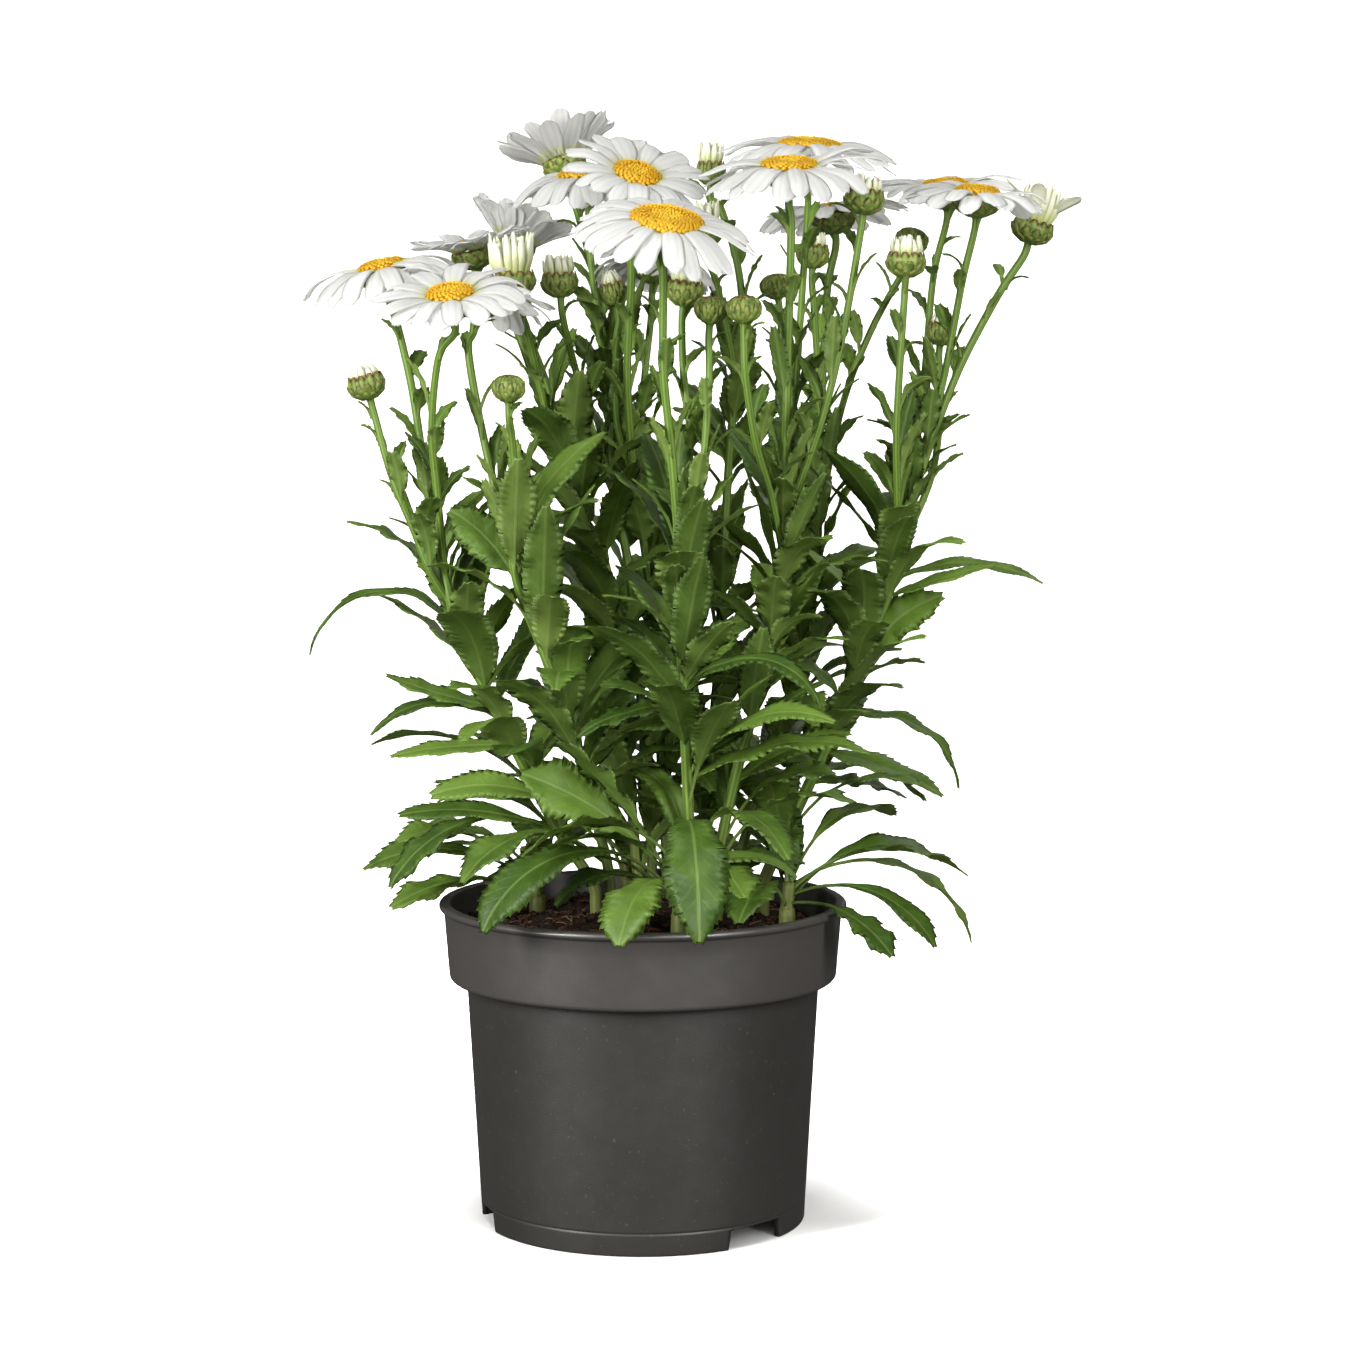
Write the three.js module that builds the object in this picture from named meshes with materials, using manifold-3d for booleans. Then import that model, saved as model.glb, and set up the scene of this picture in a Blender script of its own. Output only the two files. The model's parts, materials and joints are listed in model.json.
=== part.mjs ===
// A shasta daisy in its nursery pot, in millimetres, with +Z up.
// The origin is the middle of the pot's foot, and -Y is the side that is seen first.
import * as THREE from "three";
import { mergeVertices } from "three/addons/utils/BufferGeometryUtils.js";
import Module from "manifold-3d";

const wasm = await Module();
wasm.setup();

// The pot: a thin moulded tub with a tall collar, a rolled lip and a notched foot.
const POT_HEIGHT = 150;
const LIP_RADIUS = 95;
const LIP_HEIGHT = 3;
const COLLAR_TOP_RADIUS = 92.7;
const COLLAR_LOW_RADIUS = 90.4;
const COLLAR_HEIGHT = 36;
const COLLAR_ROUND = 4;
const BODY_TOP_RADIUS = 82.3;
const FOOT_RADIUS = 75.7;
const WALL = 2;
const FLOOR_TOP = 12;
const FLOOR_THICKNESS = 2;
const FOOT_WALL = 3;
const POT_SIDES = 32;
const NOTCH_HEIGHT = 9.8;
const NOTCH_WIDTH_LOW = 33;
const NOTCH_WIDTH_HIGH = 30;
const NOTCH_AZIMUTHS = [-47, 73, 193];
const DRAIN_RADIUS = 5;
const DRAIN_CIRCLE = 52;
const DRAIN_COUNT = 4;
const DRAIN_SIDES = 6;

// The soil: a low mound with lumps, and a plain hole for each stem.
const SOIL_GAP = 0.4;
const SOIL_EDGE = 137;
const SOIL_CROWN = 145;
const SOIL_LUMP = 1.3;
const SOIL_SIDES = 18;
const SOIL_RINGS = [0.86, 0.5];
const HOLE_FLOOR = 120;
const HOLE_CLEARANCE = 0.45;
const HOLE_SIDES = 6;

// What every stem and head shares.
const SEAT = 0.3;
const STEM_FOOT = HOLE_FLOOR + SEAT;
const STEM_SIDES = 5;
const STALK_RADIUS = 1.8;
const NECK_RADIUS = 2.7;
const FORK_RADIUS = 0.9;
const CUP_SIDES = 2 * STEM_SIDES;
const CUP_DEPTH = 7.5;
const BLOOM_CUP = 10.8;
const MAIN_SECTIONS = 8;
const SHOOT_SECTIONS = 3;
const STALK_SECTIONS = 4;
const BLADE_THICKNESS = 1.5;
const LEAF_FOLD = 0.22;
const LONG_LEAF = 92;
const SHORT_LEAF = 60;
const LEAF_FOOT = 1.1;
const ROOT_LENGTH = 14;
const PETAL_THICKNESS = 1.3;
const PETAL_WIDTH = 11.6;
const PETALS = 14;
const LAYER_LIFT = 7;
const ROOT_RADIUS = 11;
const DISC_BED = 1.8;
const DISC_SIDES = 10;
const GOLDEN_ANGLE = 137.5;

// Room: what a blade keeps to the pieces of other nodes, and the share of it kept to its own.
const ROOM = 0.6;
const OWN_SHARE = 0.55;
const CELL = 16;
const FLAT_SHARE = Math.cos(Math.PI / STEM_SIDES);
const LEAF_SUNK = 0.6;

// How a petal or leaf gives way when its place is taken: shorter, steeper or flatter, or turned.
const PETAL_SHARES = [1, 0.84, 0.66];
const PETAL_LIFTS = [0, 9, -9, 18, -18, 28, -28, 40, -42, 52, -56];
const STEEPEST_UNDER_DISC = 28;
const LEAF_SHARES = [1, 0.82, 0.64, 0.48];
const LEAF_BENDS = [0, 14, -14, 28];
const LEAF_TURNS = [0, 14, -14, 28, -28, 44, -44, 62, -62, 82, -82];
const CHOSEN_SHARES = [1, 0.9, 0.78];
const CHOSEN_BENDS = [0, 8, -8, 16, -16];
const CHOSEN_TURNS = [0, 7, -7, 14, -14, 24, -24];

// A petal's widths: shares of its length and of its width.
const PETAL_SECTIONS = [
  [0.48, 0.96],
  [0.86, 0.86],
];

// A stem's route starts at its foot in the soil. A head's route leaves the stem and ends at its cup.
// at: the middle of the petal ring. lean: tilt to +X. face: tilt to -Y. reach: petal tip radius.
// lift and curl: how high the petals start and end, in degrees above the ring's plane.
// A leaf is [height on the stem, azimuth, start angle, end angle, length, width, roll].
const STEMS = [
  {
    radius: 2.8,
    route: [
      [-22, -8], [-24, -9, 160], [-40, -14, 186], [-56, -22, 218], [-69, -30, 247],
      [-82, -38, 273], [-88, -42, 300],
    ],
    leaves: { from: 172, to: 292, step: 20, azimuth: 150, size: 0.9 },
    chosen: [
      [278, 182, 62, -78, 88, 14, -15],
      [237, 180, 36, -50, 64, 12, -20],
      [243, 172, 12, 22, 50, 13, -30],
      [224, 186, 8, -14, 56, 14, -25],
      [188, 195, 24, -62, 88, 17, -20],
    ],
    heads: [
      { kind: "bloom", at: [-119, 2, 441], lean: -12, face: 8, reach: 40, lift: -2, curl: -50, disc: 10.5,
        route: [[-88, -40, 296], [-94, -34, 325], [-99, -28, 354], [-105, -14, 388], [-112, -4, 416]] },
      { kind: "bloom", at: [-83, -86, 427], lean: -6, face: 20, reach: 36, lift: 12, curl: -26, disc: 10,
        route: [[-88, -42, 298], [-92, -52, 347], [-93, -62, 372], [-89, -74, 402]] },
      { kind: "tuft", at: [-123, -52, 392], lean: -14, face: 4, size: 8.4, tall: 6, splay: -6, count: 9,
        route: [[-88, -42, 292], [-95, -46, 306], [-103, -49, 327], [-112, -51, 350]] },
    ],
  },
  {
    radius: 2.6,
    route: [
      [-15, -33], [-16, -34, 170], [-24, -38, 202], [-31, -44, 230], [-44, -52, 269],
      [-55, -58, 299], [-58, -60, 314],
    ],
    leaves: { from: 178, to: 306, step: 21, azimuth: 215, size: 0.9 },
    chosen: [
      [304, 168, 62, 28, 42, 21, -50],
      [184, 178, 50, -22, 82, 17, -30],
      [176, 184, 36, -10, 96, 18, -20],
    ],
    heads: [
      { kind: "bloom", at: [-74, -34, 428], lean: 8, face: 4, reach: 37, lift: 10, curl: -28, disc: 9.5,
        route: [[-58, -60, 312], [-65, -55, 341], [-73, -46, 376], [-78, -38, 405]] },
      { kind: "closed", at: [-58, -86, 391], lean: 0, face: 4, size: 6.8,
        route: [[-58, -60, 310], [-56, -66, 340], [-57, -77, 366]] },
    ],
  },
  {
    radius: 2.7,
    route: [[-2, 6], [-3, 6, 165], [-10, 7, 243], [-16, 8, 300], [-27, 9, 328], [-40, 11, 360]],
    leaves: { from: 176, to: 350, step: 22, azimuth: 40, size: 0.8 },
    chosen: [],
    heads: [
      { kind: "bloom", at: [-80, 48, 452], lean: -10, face: 4, reach: 30, lift: 20, curl: 2, disc: 9,
        route: [[-38, 11, 356], [-49, 20, 387], [-62, 33, 421]] },
      { kind: "bloom", at: [-62, 104, 458], lean: 18, face: -10, reach: 31, lift: 42, curl: 30, disc: 9,
        route: [[-40, 11, 358], [-44, 34, 386], [-56, 66, 416], [-64, 94, 436]] },
      { kind: "tuft", at: [-59, -16, 438], lean: -4, face: 2, size: 10.8, tall: 18, splay: 8, count: 12,
        route: [[-40, 11, 358], [-45, 5, 380], [-53, -11, 416]] },
    ],
  },
  {
    radius: 2.7,
    route: [[4, 24], [4, 24, 165], [-1, 28, 241], [-6, 30, 299], [-14, 34, 343], [-16, 36, 388]],
    leaves: { from: 180, to: 376, step: 26, azimuth: 100, size: 0.75 },
    chosen: [
      [350, 205, 70, 40, 34, 13, -20],
      [372, -60, 72, 50, 30, 10, 0],
    ],
    heads: [
      { kind: "bloom", at: [-38, 88, 496], lean: -14, face: -14, reach: 34, lift: 34, curl: 26, disc: 9.5,
        route: [[-16, 36, 384], [-17, 50, 410], [-26, 70, 452]] },
      { kind: "bloom", at: [-26, 34, 484], lean: -3, face: 9, reach: 41, lift: -6, curl: -44, disc: 13,
        route: [[-16, 36, 386], [-20, 38, 412], [-25, 38, 456]] },
      { kind: "tuft", at: [-38, 0, 438], lean: -4, face: 0, size: 8.5, tall: 10, splay: 2, count: 9,
        route: [[-14, 34, 346], [-23, 27, 366], [-34, 8, 408]] },
    ],
  },
  {
    radius: 2.6,
    route: [[11, 44], [11, 44, 162], [7, 42, 240], [4, 35, 288], [-3, 25, 340]],
    leaves: { from: 176, to: 330, step: 22, azimuth: 70, size: 0.8 },
    chosen: [],
    heads: [
      { kind: "bloom", at: [-3, -20, 482], lean: 14, face: 28, reach: 35, lift: 18, curl: -18, disc: 10.8,
        route: [[-3, 25, 336], [-7, 9, 391], [-5, -5, 440]] },
      { kind: "bloom", at: [6, 34, 445], lean: 6, face: -8, reach: 33, lift: -10, curl: -52, disc: 10,
        route: [[-3, 25, 336], [0, 28, 382], [4, 32, 420]] },
      { kind: "tuft", at: [-14, 10, 434], lean: -12, face: 0, size: 6, tall: 7, splay: -12, count: 7,
        route: [[-3, 25, 336], [-12, 22, 372], [-12, 12, 408]] },
    ],
  },
  {
    radius: 2.8,
    route: [[22, -40], [22, -40, 165], [19, -50, 231], [17, -58, 276], [16, -66, 317]],
    leaves: { from: 182, to: 306, step: 21, azimuth: 300, size: 0.85 },
    chosen: [
      [312, -40, 82, 66, 44, 19, 25],
      [248, -8, 66, -72, 78, 12, 20],
      [214, 4, 46, 24, 76, 9, 20],
      [240, 190, 22, -40, 50, 15, -20],
    ],
    heads: [
      { kind: "bloom", at: [10, -102, 458], lean: 7, face: 22, reach: 43, lift: -2, curl: -38, disc: 15.5,
        route: [[16, -66, 314], [13, -76, 357], [9, -86, 397], [9, -96, 436]] },
      { kind: "tuft", at: [19, -60, 433], lean: 6, face: 0, size: 8, tall: 10, splay: 2, count: 7,
        route: [[16, -66, 324], [21, -60, 361], [18, -58, 396]] },
      { kind: "closed", at: [30, -76, 425], lean: 4, face: 4, size: 6.8,
        route: [[16, -66, 303], [26, -74, 352], [29, -77, 392]] },
    ],
  },
  {
    radius: 2.8,
    route: [
      [34, -16], [34, -16, 168], [42, -22, 209], [52, -28, 247], [60, -32, 285], [63, -34, 318],
      [64, -34, 345],
    ],
    leaves: { from: 180, to: 338, step: 22, azimuth: 330, size: 0.85 },
    chosen: [
      [300, 215, 80, 62, 56, 18, -20],
      [206, 2, 42, 6, 58, 15, 30],
      [330, -120, 70, 45, 40, 11, 0],
      [336, -30, 66, 50, 38, 12, 0],
    ],
    heads: [
      { kind: "bloom", at: [65, -50, 484], lean: 0, face: 13, reach: 42, lift: 0, curl: -38, disc: 12.5,
        route: [[64, -34, 342], [65, -40, 402], [66, -47, 456]] },
      { kind: "bloom", at: [78, 34, 498], lean: 2, face: 9, reach: 43, lift: 0, curl: -28, disc: 14.5,
        route: [[64, -34, 350], [69, -20, 383], [74, 8, 437], [77, 26, 470]] },
      { kind: "closed", at: [44, -90, 425], lean: 0, face: 6, size: 7.2,
        route: [[63, -34, 316], [58, -46, 338], [50, -68, 364], [45, -84, 392]] },
      { kind: "tuft", at: [99, -42, 474], lean: 6, face: 0, size: 9, tall: 8, splay: 0, count: 10,
        route: [[64, -34, 324], [76, -38, 360], [84, -41, 387], [91, -42, 420]] },
    ],
  },
  {
    radius: 2.6,
    route: [[46, 30], [46, 30, 166], [58, 38, 201], [71, 46, 239], [78, 52, 277], [83, 56, 312]],
    leaves: { from: 178, to: 304, step: 19, azimuth: 20, size: 0.95 },
    chosen: [],
    heads: [
      { kind: "bloom", at: [92, 84, 470], lean: -5, face: -6, reach: 39, lift: 2, curl: -36, disc: 10,
        route: [[83, 56, 308], [86, 66, 381], [89, 78, 432]] },
      { kind: "closed", at: [131, 86, 460], lean: 14, face: -10, size: 7.6,
        route: [[83, 56, 310], [95, 66, 375], [110, 76, 414]] },
      { kind: "closed", at: [64, 72, 438], lean: -8, face: 0, size: 7.4,
        route: [[83, 56, 306], [76, 62, 360], [68, 69, 400]] },
      { kind: "tuft", at: [80, 34, 452], lean: 2, face: 0, size: 7.5, tall: 8, splay: -4, count: 7,
        route: [[83, 56, 308], [84, 50, 372], [81, 38, 420]] },
    ],
  },
  {
    radius: 3.2,
    route: [
      [56, 8], [57, 8, 158], [70, 6, 187], [85, 4, 220], [94, 0, 246], [103, -3, 268],
      [115, -6, 298], [118, -8, 318],
    ],
    leaves: { from: 176, to: 308, step: 22, azimuth: 350, size: 0.95 },
    chosen: [
      [264, 2, 56, 18, 46, 19, 55],
      [300, 6, 26, -30, 72, 10, 20],
      [292, -8, 20, 14, 52, 12, 25],
      [230, -6, 32, -84, 76, 14, 15],
      [216, -16, 4, -34, 60, 20, 20],
      [204, 20, 8, -30, 50, 14, 20],
    ],
    heads: [
      { kind: "tuft", at: [182, 22, 463], lean: 18, face: 2,
        size: 10, tall: 18, splay: 6, count: 10, open: 5,
        route: [[118, -8, 316], [129, -4, 352], [140, 2, 382], [150, 8, 404], [166, 17, 432]] },
      { kind: "bloom", at: [152, -14, 474], lean: 4, face: 9, reach: 35, lift: 8, curl: -34, disc: 9.8,
        route: [[118, -8, 318], [128, -2, 350], [138, -2, 390], [146, -8, 436]] },
      { kind: "bloom", at: [144, 62, 481], lean: -4, face: 7, reach: 38, lift: 6, curl: -28, disc: 10.5,
        route: [[117, -7, 312], [124, 12, 345], [132, 36, 385], [138, 54, 438]] },
      { kind: "tuft", at: [117, -50, 446], lean: 2, face: 2, size: 8.8, tall: 9, splay: 0, count: 10,
        route: [[117, -7, 310], [116, -22, 338], [114, -40, 370], [115, -48, 404]] },
      { kind: "tuft", at: [141, 40, 416], lean: 4, face: 0, size: 6.5, tall: 6, splay: -8, count: 8,
        route: [[118, -8, 314], [134, 10, 346], [140, 32, 376]] },
    ],
  },
  {
    radius: 2.6,
    route: [[28, 58], [28, 58, 165], [35, 62, 237], [38, 66, 285], [41, 68, 343], [44, 68, 381]],
    leaves: { from: 178, to: 370, step: 22, azimuth: 120, size: 0.9 },
    chosen: [],
    heads: [
      { kind: "tuft", at: [33, 80, 493], lean: 0, face: 0, size: 7, tall: 12, splay: 2, count: 7,
        route: [[44, 68, 378], [48, 71, 415], [46, 73, 444], [38, 77, 472]] },
      { kind: "tuft", at: [30, 34, 462], lean: -2, face: 0, size: 7, tall: 12, splay: 3, count: 7,
        route: [[44, 68, 376], [43, 58, 400], [35, 42, 436]] },
    ],
  },
  {
    radius: 4.2,
    route: [[16, -52], [16, -52, 154], [17, -53, 173]],
    leaves: { from: 153, to: 168, step: 3.4, azimuth: 20, size: 0.62 },
    chosen: [
      [170, -86, 68, -84, 132, 25, 0],
      [160, 207, 56, -66, 116, 25, -12],
      [158, -112, 48, -62, 82, 24, 0],
      [164, 176, 56, 18, 88, 26, -50],
    ],
    heads: [],
  },
  {
    radius: 4.2,
    route: [[-50, 14], [-50, 14, 150], [-51, 14, 162]],
    leaves: { from: 151, to: 161, step: 2.2, azimuth: 95, size: 0.85 },
    chosen: [
      [156, 184, 40, -30, 84, 19, -15],
      [153, 206, 24, -30, 74, 18, -10],
    ],
    heads: [],
  },
  {
    radius: 4.2,
    route: [[66, -26], [66, -26, 150], [67, -26, 162]],
    leaves: { from: 151, to: 161, step: 2.4, azimuth: 250, size: 0.8 },
    chosen: [
      [160, 2, 40, -76, 104, 18, 10],
      [156, -18, 28, -62, 78, 18, 10],
      [153, -38, 12, -50, 62, 18, 0],
    ],
    heads: [],
  },
  {
    radius: 4.2,
    route: [[-8, 70], [-8, 70, 148], [-8, 72, 160]],
    leaves: { from: 149, to: 160, step: 1.7, azimuth: 60, size: 0.9 },
    chosen: [],
    heads: [],
  },
];

const DEGREE = Math.PI / 180;
const add = (a, b, t = 1) => [a[0] + b[0] * t, a[1] + b[1] * t, a[2] + b[2] * t];
const subtract = (a, b) => add(a, b, -1);
const cross = (a, b) => [a[1] * b[2] - a[2] * b[1], a[2] * b[0] - a[0] * b[2], a[0] * b[1] - a[1] * b[0]];
const unit = (a) => add([0, 0, 0], a, 1 / Math.hypot(...a));
const mix = (a, b, t) => a + (b - a) * t;

// A small seeded generator, so that every run grows the same plant.
function seeded(seed) {
  let state = seed >>> 0;
  return () => {
    state = (state + 0x6d2b79f5) >>> 0;
    let t = state;
    t = Math.imul(t ^ (t >>> 15), t | 1);
    t ^= t + Math.imul(t ^ (t >>> 7), t | 61);
    return ((t ^ (t >>> 14)) >>> 0) / 4294967296;
  };
}

// A smooth line through the points, sampled at t from 0 to 1.
function along(points, t) {
  const last = points.length - 1;
  const place = Math.min(Math.max(t, 0), 1) * last;
  const i = Math.min(Math.floor(place), last - 1);
  const f = place - i;
  const a = points[Math.max(i - 1, 0)];
  const b = points[i];
  const c = points[i + 1];
  const d = points[Math.min(i + 2, last)];
  return [0, 1, 2].map((k) => {
    const bend = 2 * a[k] - 5 * b[k] + 4 * c[k] - d[k];
    const swing = 3 * b[k] - a[k] - 3 * c[k] + d[k];
    return b[k] + 0.5 * f * (c[k] - a[k] + f * (bend + f * swing));
  });
}

// The place and slope on an arc of the given length whose angle turns from one value to another.
function arc(length, from, to, s) {
  const a = from * DEGREE;
  const turn = (to - from) * DEGREE || 1e-6;
  const b = a + turn * s;
  const out = (length * (Math.sin(b) - Math.sin(a))) / turn;
  const up = (length * (Math.cos(a) - Math.cos(b))) / turn;
  return { out, up, slope: b };
}

// Directions at a head: its axis, and two directions in the plane of its petals.
function headFrame(head) {
  const axis = unit([Math.tan(head.lean * DEGREE), -Math.tan(head.face * DEGREE), 1]);
  const right = unit(cross([0, 1, 0], axis));
  return { axis, right, back: cross(axis, right) };
}

// A point in a head's own frame: radius and angle round its axis, and height along it.
function onHead(head, radius, angle, height) {
  const { axis, right, back } = headFrame(head);
  const flat = add(add(head.at, right, radius * Math.cos(angle)), back, radius * Math.sin(angle));
  return add(flat, axis, height);
}

// A closed solid from rings of points. It starts and ends in a single point.
// A ring may have twice the points of the one before.
function loft(rings) {
  const points = rings.flat();
  const faces = [];
  let start = 0;
  for (let i = 0; i + 1 < rings.length; i++) {
    const n = rings[i].length;
    const m = rings[i + 1].length;
    const next = start + n;
    const count = Math.max(n, m);
    if (n > 1 && m === 2 * n) {
      for (let j = 0; j < n; j++) {
        const k = (j + 1) % n;
        const middle = next + 2 * j + 1;
        faces.push([start + j, start + k, middle]);
        faces.push([start + j, middle, next + 2 * j], [start + k, next + 2 * k, middle]);
      }
      start = next;
      continue;
    }
    for (let j = 0; j < count; j++) {
      const k = (j + 1) % count;
      if (n > 1) {
        faces.push([start + j, start + k, next + (m > 1 ? k : 0)]);
      }
      if (m > 1) {
        faces.push([start + (n > 1 ? j : 0), next + k, next + j]);
      }
    }
    start = next;
  }
  return solid(points, faces);
}

function solid(points, faces) {
  const geometry = new THREE.BufferGeometry();
  geometry.setAttribute("position", new THREE.Float32BufferAttribute(points.flat(), 3));
  geometry.setIndex(faces.flat());
  return solidOf(geometry);
}

function solidOf(geometry) {
  geometry.deleteAttribute("normal");
  geometry.deleteAttribute("uv");
  const merged = mergeVertices(geometry, 1e-4);
  const mesh = new wasm.Mesh({
    numProp: 3,
    vertProperties: new Float32Array(merged.attributes.position.array),
    triVerts: new Uint32Array(merged.index.array),
  });
  return new wasm.Manifold(mesh);
}

// The pieces as one body. A speck of a hollow that the join seals is filled.
function joined(solids) {
  const whole = solids.reduce((sum, piece) => sum.add(piece));
  return whole.decompose().reduce((most, body) => (body.volume() > most.volume() ? body : most));
}

function geometryOf(manifold) {
  const mesh = manifold.getMesh();
  const geometry = new THREE.BufferGeometry();
  geometry.setAttribute("position", new THREE.Float32BufferAttribute(mesh.vertProperties, 3));
  geometry.setIndex(Array.from(mesh.triVerts));
  return geometry;
}

// A point on the chords of a smooth line.
function onChord(points, count, t) {
  const place = Math.min(t, 1) * count;
  const i = Math.min(Math.floor(place), count - 1);
  const a = along(points, i / count);
  return add(a, subtract(along(points, (i + 1) / count), a), place - i);
}

// The rings of a round rod along a smooth line.
function rodRings(points, count, radiusAt) {
  return Array.from({ length: count + 1 }, (_, i) => {
    const t = i / count;
    const middle = along(points, t);
    const direction = unit(subtract(along(points, t + 0.01), along(points, t - 0.01)));
    const right = unit(cross([0, 1, 0], direction));
    const back = cross(direction, right);
    return Array.from({ length: STEM_SIDES }, (_, j) => {
      const angle = (j / STEM_SIDES) * 2 * Math.PI;
      const out = add(middle, right, radiusAt(t) * Math.cos(angle));
      return add(out, back, radiusAt(t) * Math.sin(angle));
    });
  });
}

// Room taken so far: small balls, kept in a grid of cells.
const taken = new Map();

function cellsAround([x, y, z]) {
  const cells = [];
  for (let i = -1; i <= 1; i++) {
    for (let j = -1; j <= 1; j++) {
      for (let k = -1; k <= 1; k++) {
        cells.push([Math.floor(x / CELL) + i, Math.floor(y / CELL) + j, Math.floor(z / CELL) + k].join());
      }
    }
  }
  return cells;
}

function take(balls) {
  for (const ball of balls) {
    const key = ball.at.map((v) => Math.floor(v / CELL)).join();
    if (!taken.has(key)) {
      taken.set(key, []);
    }
    taken.get(key).push(ball);
  }
}

// The lowest height that a blade may have at a distance from the pot's axis.
function ground(distance, radius) {
  if (distance > LIP_RADIUS + 0.5 + radius) {
    return 60;
  }
  return distance > COLLAR_LOW_RADIUS - 4 ? POT_HEIGHT + 1 : SOIL_CROWN + 1;
}

// Whether the balls of a blade keep clear of all that stands there already.
function clear(balls, node, head) {
  return balls.every((ball) => {
    const [x, y, z] = ball.at;
    if (!ball.root && z - 0.6 * ball.radius < ground(Math.hypot(x, y), ball.radius)) {
      return false;
    }
    return cellsAround(ball.at).every((key) =>
      (taken.get(key) || []).every((other) => {
        if ((head !== undefined && other.head === head) || (ball.root && other.node === node)) {
          return true;
        }
        const share = other.node === node ? OWN_SHARE : 1;
        const room = (ball.radius + other.radius + ROOM) * share;
        const gap = subtract(ball.at, other.at);
        return gap[0] * gap[0] + gap[1] * gap[1] + gap[2] * gap[2] > room * room;
      }),
    );
  });
}

// A stem runs on into its first head, and its other heads branch from it.
const stems = STEMS.map((stem, i) => ({
  ...stem,
  name: `leafy_stem_${String(i + 1).padStart(2, "0")}`,
  sections: stem.heads.length ? MAIN_SECTIONS : SHOOT_SECTIONS,
  path: [[...stem.route[0], STEM_FOOT], [...stem.route[0], SOIL_CROWN + 3], ...stem.route.slice(1)],
}));
const heads = stems.flatMap((stem) => stem.heads.map((head, order) => ({ ...head, stem, order })));
heads.forEach((head, i) => {
  const { axis } = headFrame(head);
  const neck = add(head.at, axis, -CUP_DEPTH);
  head.id = i;
  head.cup = head.kind === "bloom" ? BLOOM_CUP : head.size;
  head.path = [...head.route, add(neck, axis, -8), neck];
  if (head.order === 0) {
    head.stem.path.push(...head.path.slice(1));
    head.stem.first = i;
  } else {
    head.path[0] = onChord(head.stem.path, head.stem.sections, shareAt(head.stem, head.path[0][2]));
  }
});

// The share of a stem's length at which it passes a height.
function shareAt(stem, height) {
  const steps = 200;
  const missAt = (i) => Math.abs(onChord(stem.path, stem.sections, i / steps)[2] - height);
  let best = 0;
  for (let i = 1; i <= steps; i++) {
    if (missAt(i) < missAt(best)) {
      best = i;
    }
  }
  return best / steps;
}

function stemRadius(stem) {
  const top = stem.heads.length ? STALK_RADIUS : stem.radius * 0.7;
  return (t) => mix(stem.radius, top, Math.min(t * 1.5, 1));
}

for (const stem of stems) {
  const steps = 60;
  take(
    Array.from({ length: steps + 1 }, (_, i) => ({
      at: onChord(stem.path, stem.sections, i / steps),
      radius: stem.radius,
      node: stem.name,
      head: i > steps - 4 ? stem.first : undefined,
    })),
  );
}
for (const head of heads) {
  const steps = 30;
  const tall = head.kind === "bloom" ? 3 : head.tall || 2;
  const line = head.order === 0 ? [] : Array.from({ length: steps + 1 }, (_, i) => i);
  take(
    line.map((i) => ({
      at: onChord(head.path, STALK_SECTIONS, i / steps),
      radius: STALK_RADIUS,
      node: head.stem.name,
      head: i > steps - 6 ? head.id : undefined,
    })),
  );
  for (let i = 0; i < 8; i++) {
    const angle = (i / 8) * 2 * Math.PI;
    const shell = [[0.6 * head.cup, -3], [0.6 * head.cup, tall / 2], [0.6 * head.cup, tall]];
    const spread = head.open ? [[15, 8], [21, 11]] : [];
    for (const [radius, height] of [...shell, ...spread]) {
      const at = onHead(head, radius, angle, height);
      take([{ at, radius: head.cup * 0.45, node: "head", head: head.id }]);
    }
  }
}

// A petal leaves the ring at its angle, and lifts or sinks until it is clear of its neighbours.
function petalPoint(head, petal, s, side, height) {
  const { axis, right, back } = headFrame(head);
  const radial = add(add([0, 0, 0], right, Math.cos(petal.angle)), back, Math.sin(petal.angle));
  const around = cross(axis, radial);
  const { out, up, slope } = arc(petal.length, petal.lift, petal.curl, s);
  const normal = add(add([0, 0, 0], axis, Math.cos(slope)), radial, -Math.sin(slope));
  const middle = add(add(head.at, radial, petal.root + out), axis, petal.height + up);
  return add(add(middle, around, side), normal, height);
}

function petalBalls(head, petal, node) {
  const balls = [];
  for (let i = 2; i <= 8; i++) {
    for (const side of [-0.25, 0.25]) {
      balls.push({
        at: petalPoint(head, petal, i / 8, side * petal.width, 0),
        radius: 2.3,
        node,
        head: head.id,
      });
    }
  }
  return balls;
}

function petalsOf(head, node) {
  const random = seeded(9001 + 37 * head.id);
  const steepest = head.disc > ROOT_RADIUS ? STEEPEST_UNDER_DISC : 80;
  const petals = [];
  for (let i = 0; i < PETALS; i++) {
    const draws = [random(), random(), random()];
    const layer = i % 2;
    const wish = {
      angle: ((i + 0.3 * (draws[0] - 0.5)) / PETALS) * 2 * Math.PI,
      root: ROOT_RADIUS,
      height: layer ? 0.6 : 0,
      width: PETAL_WIDTH * (0.92 + 0.16 * draws[1]),
      reach: head.reach * (0.94 + 0.08 * draws[2]),
    };
    const found = firstClear(PETAL_SHARES, PETAL_LIFTS, (share, change) => {
      const petal = {
        ...wish,
        length: wish.reach * share - wish.root,
        lift: Math.min(head.lift + (layer ? LAYER_LIFT : 0) + change, steepest),
        curl: head.curl + 14 * (draws[1] - 0.5) + change * 0.8,
      };
      return clear(petalBalls(head, petal, node), node, head.id) ? petal : null;
    });
    petals.push(found);
    if (found) {
      take(petalBalls(head, found, node));
    }
  }
  return petals;
}

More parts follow.
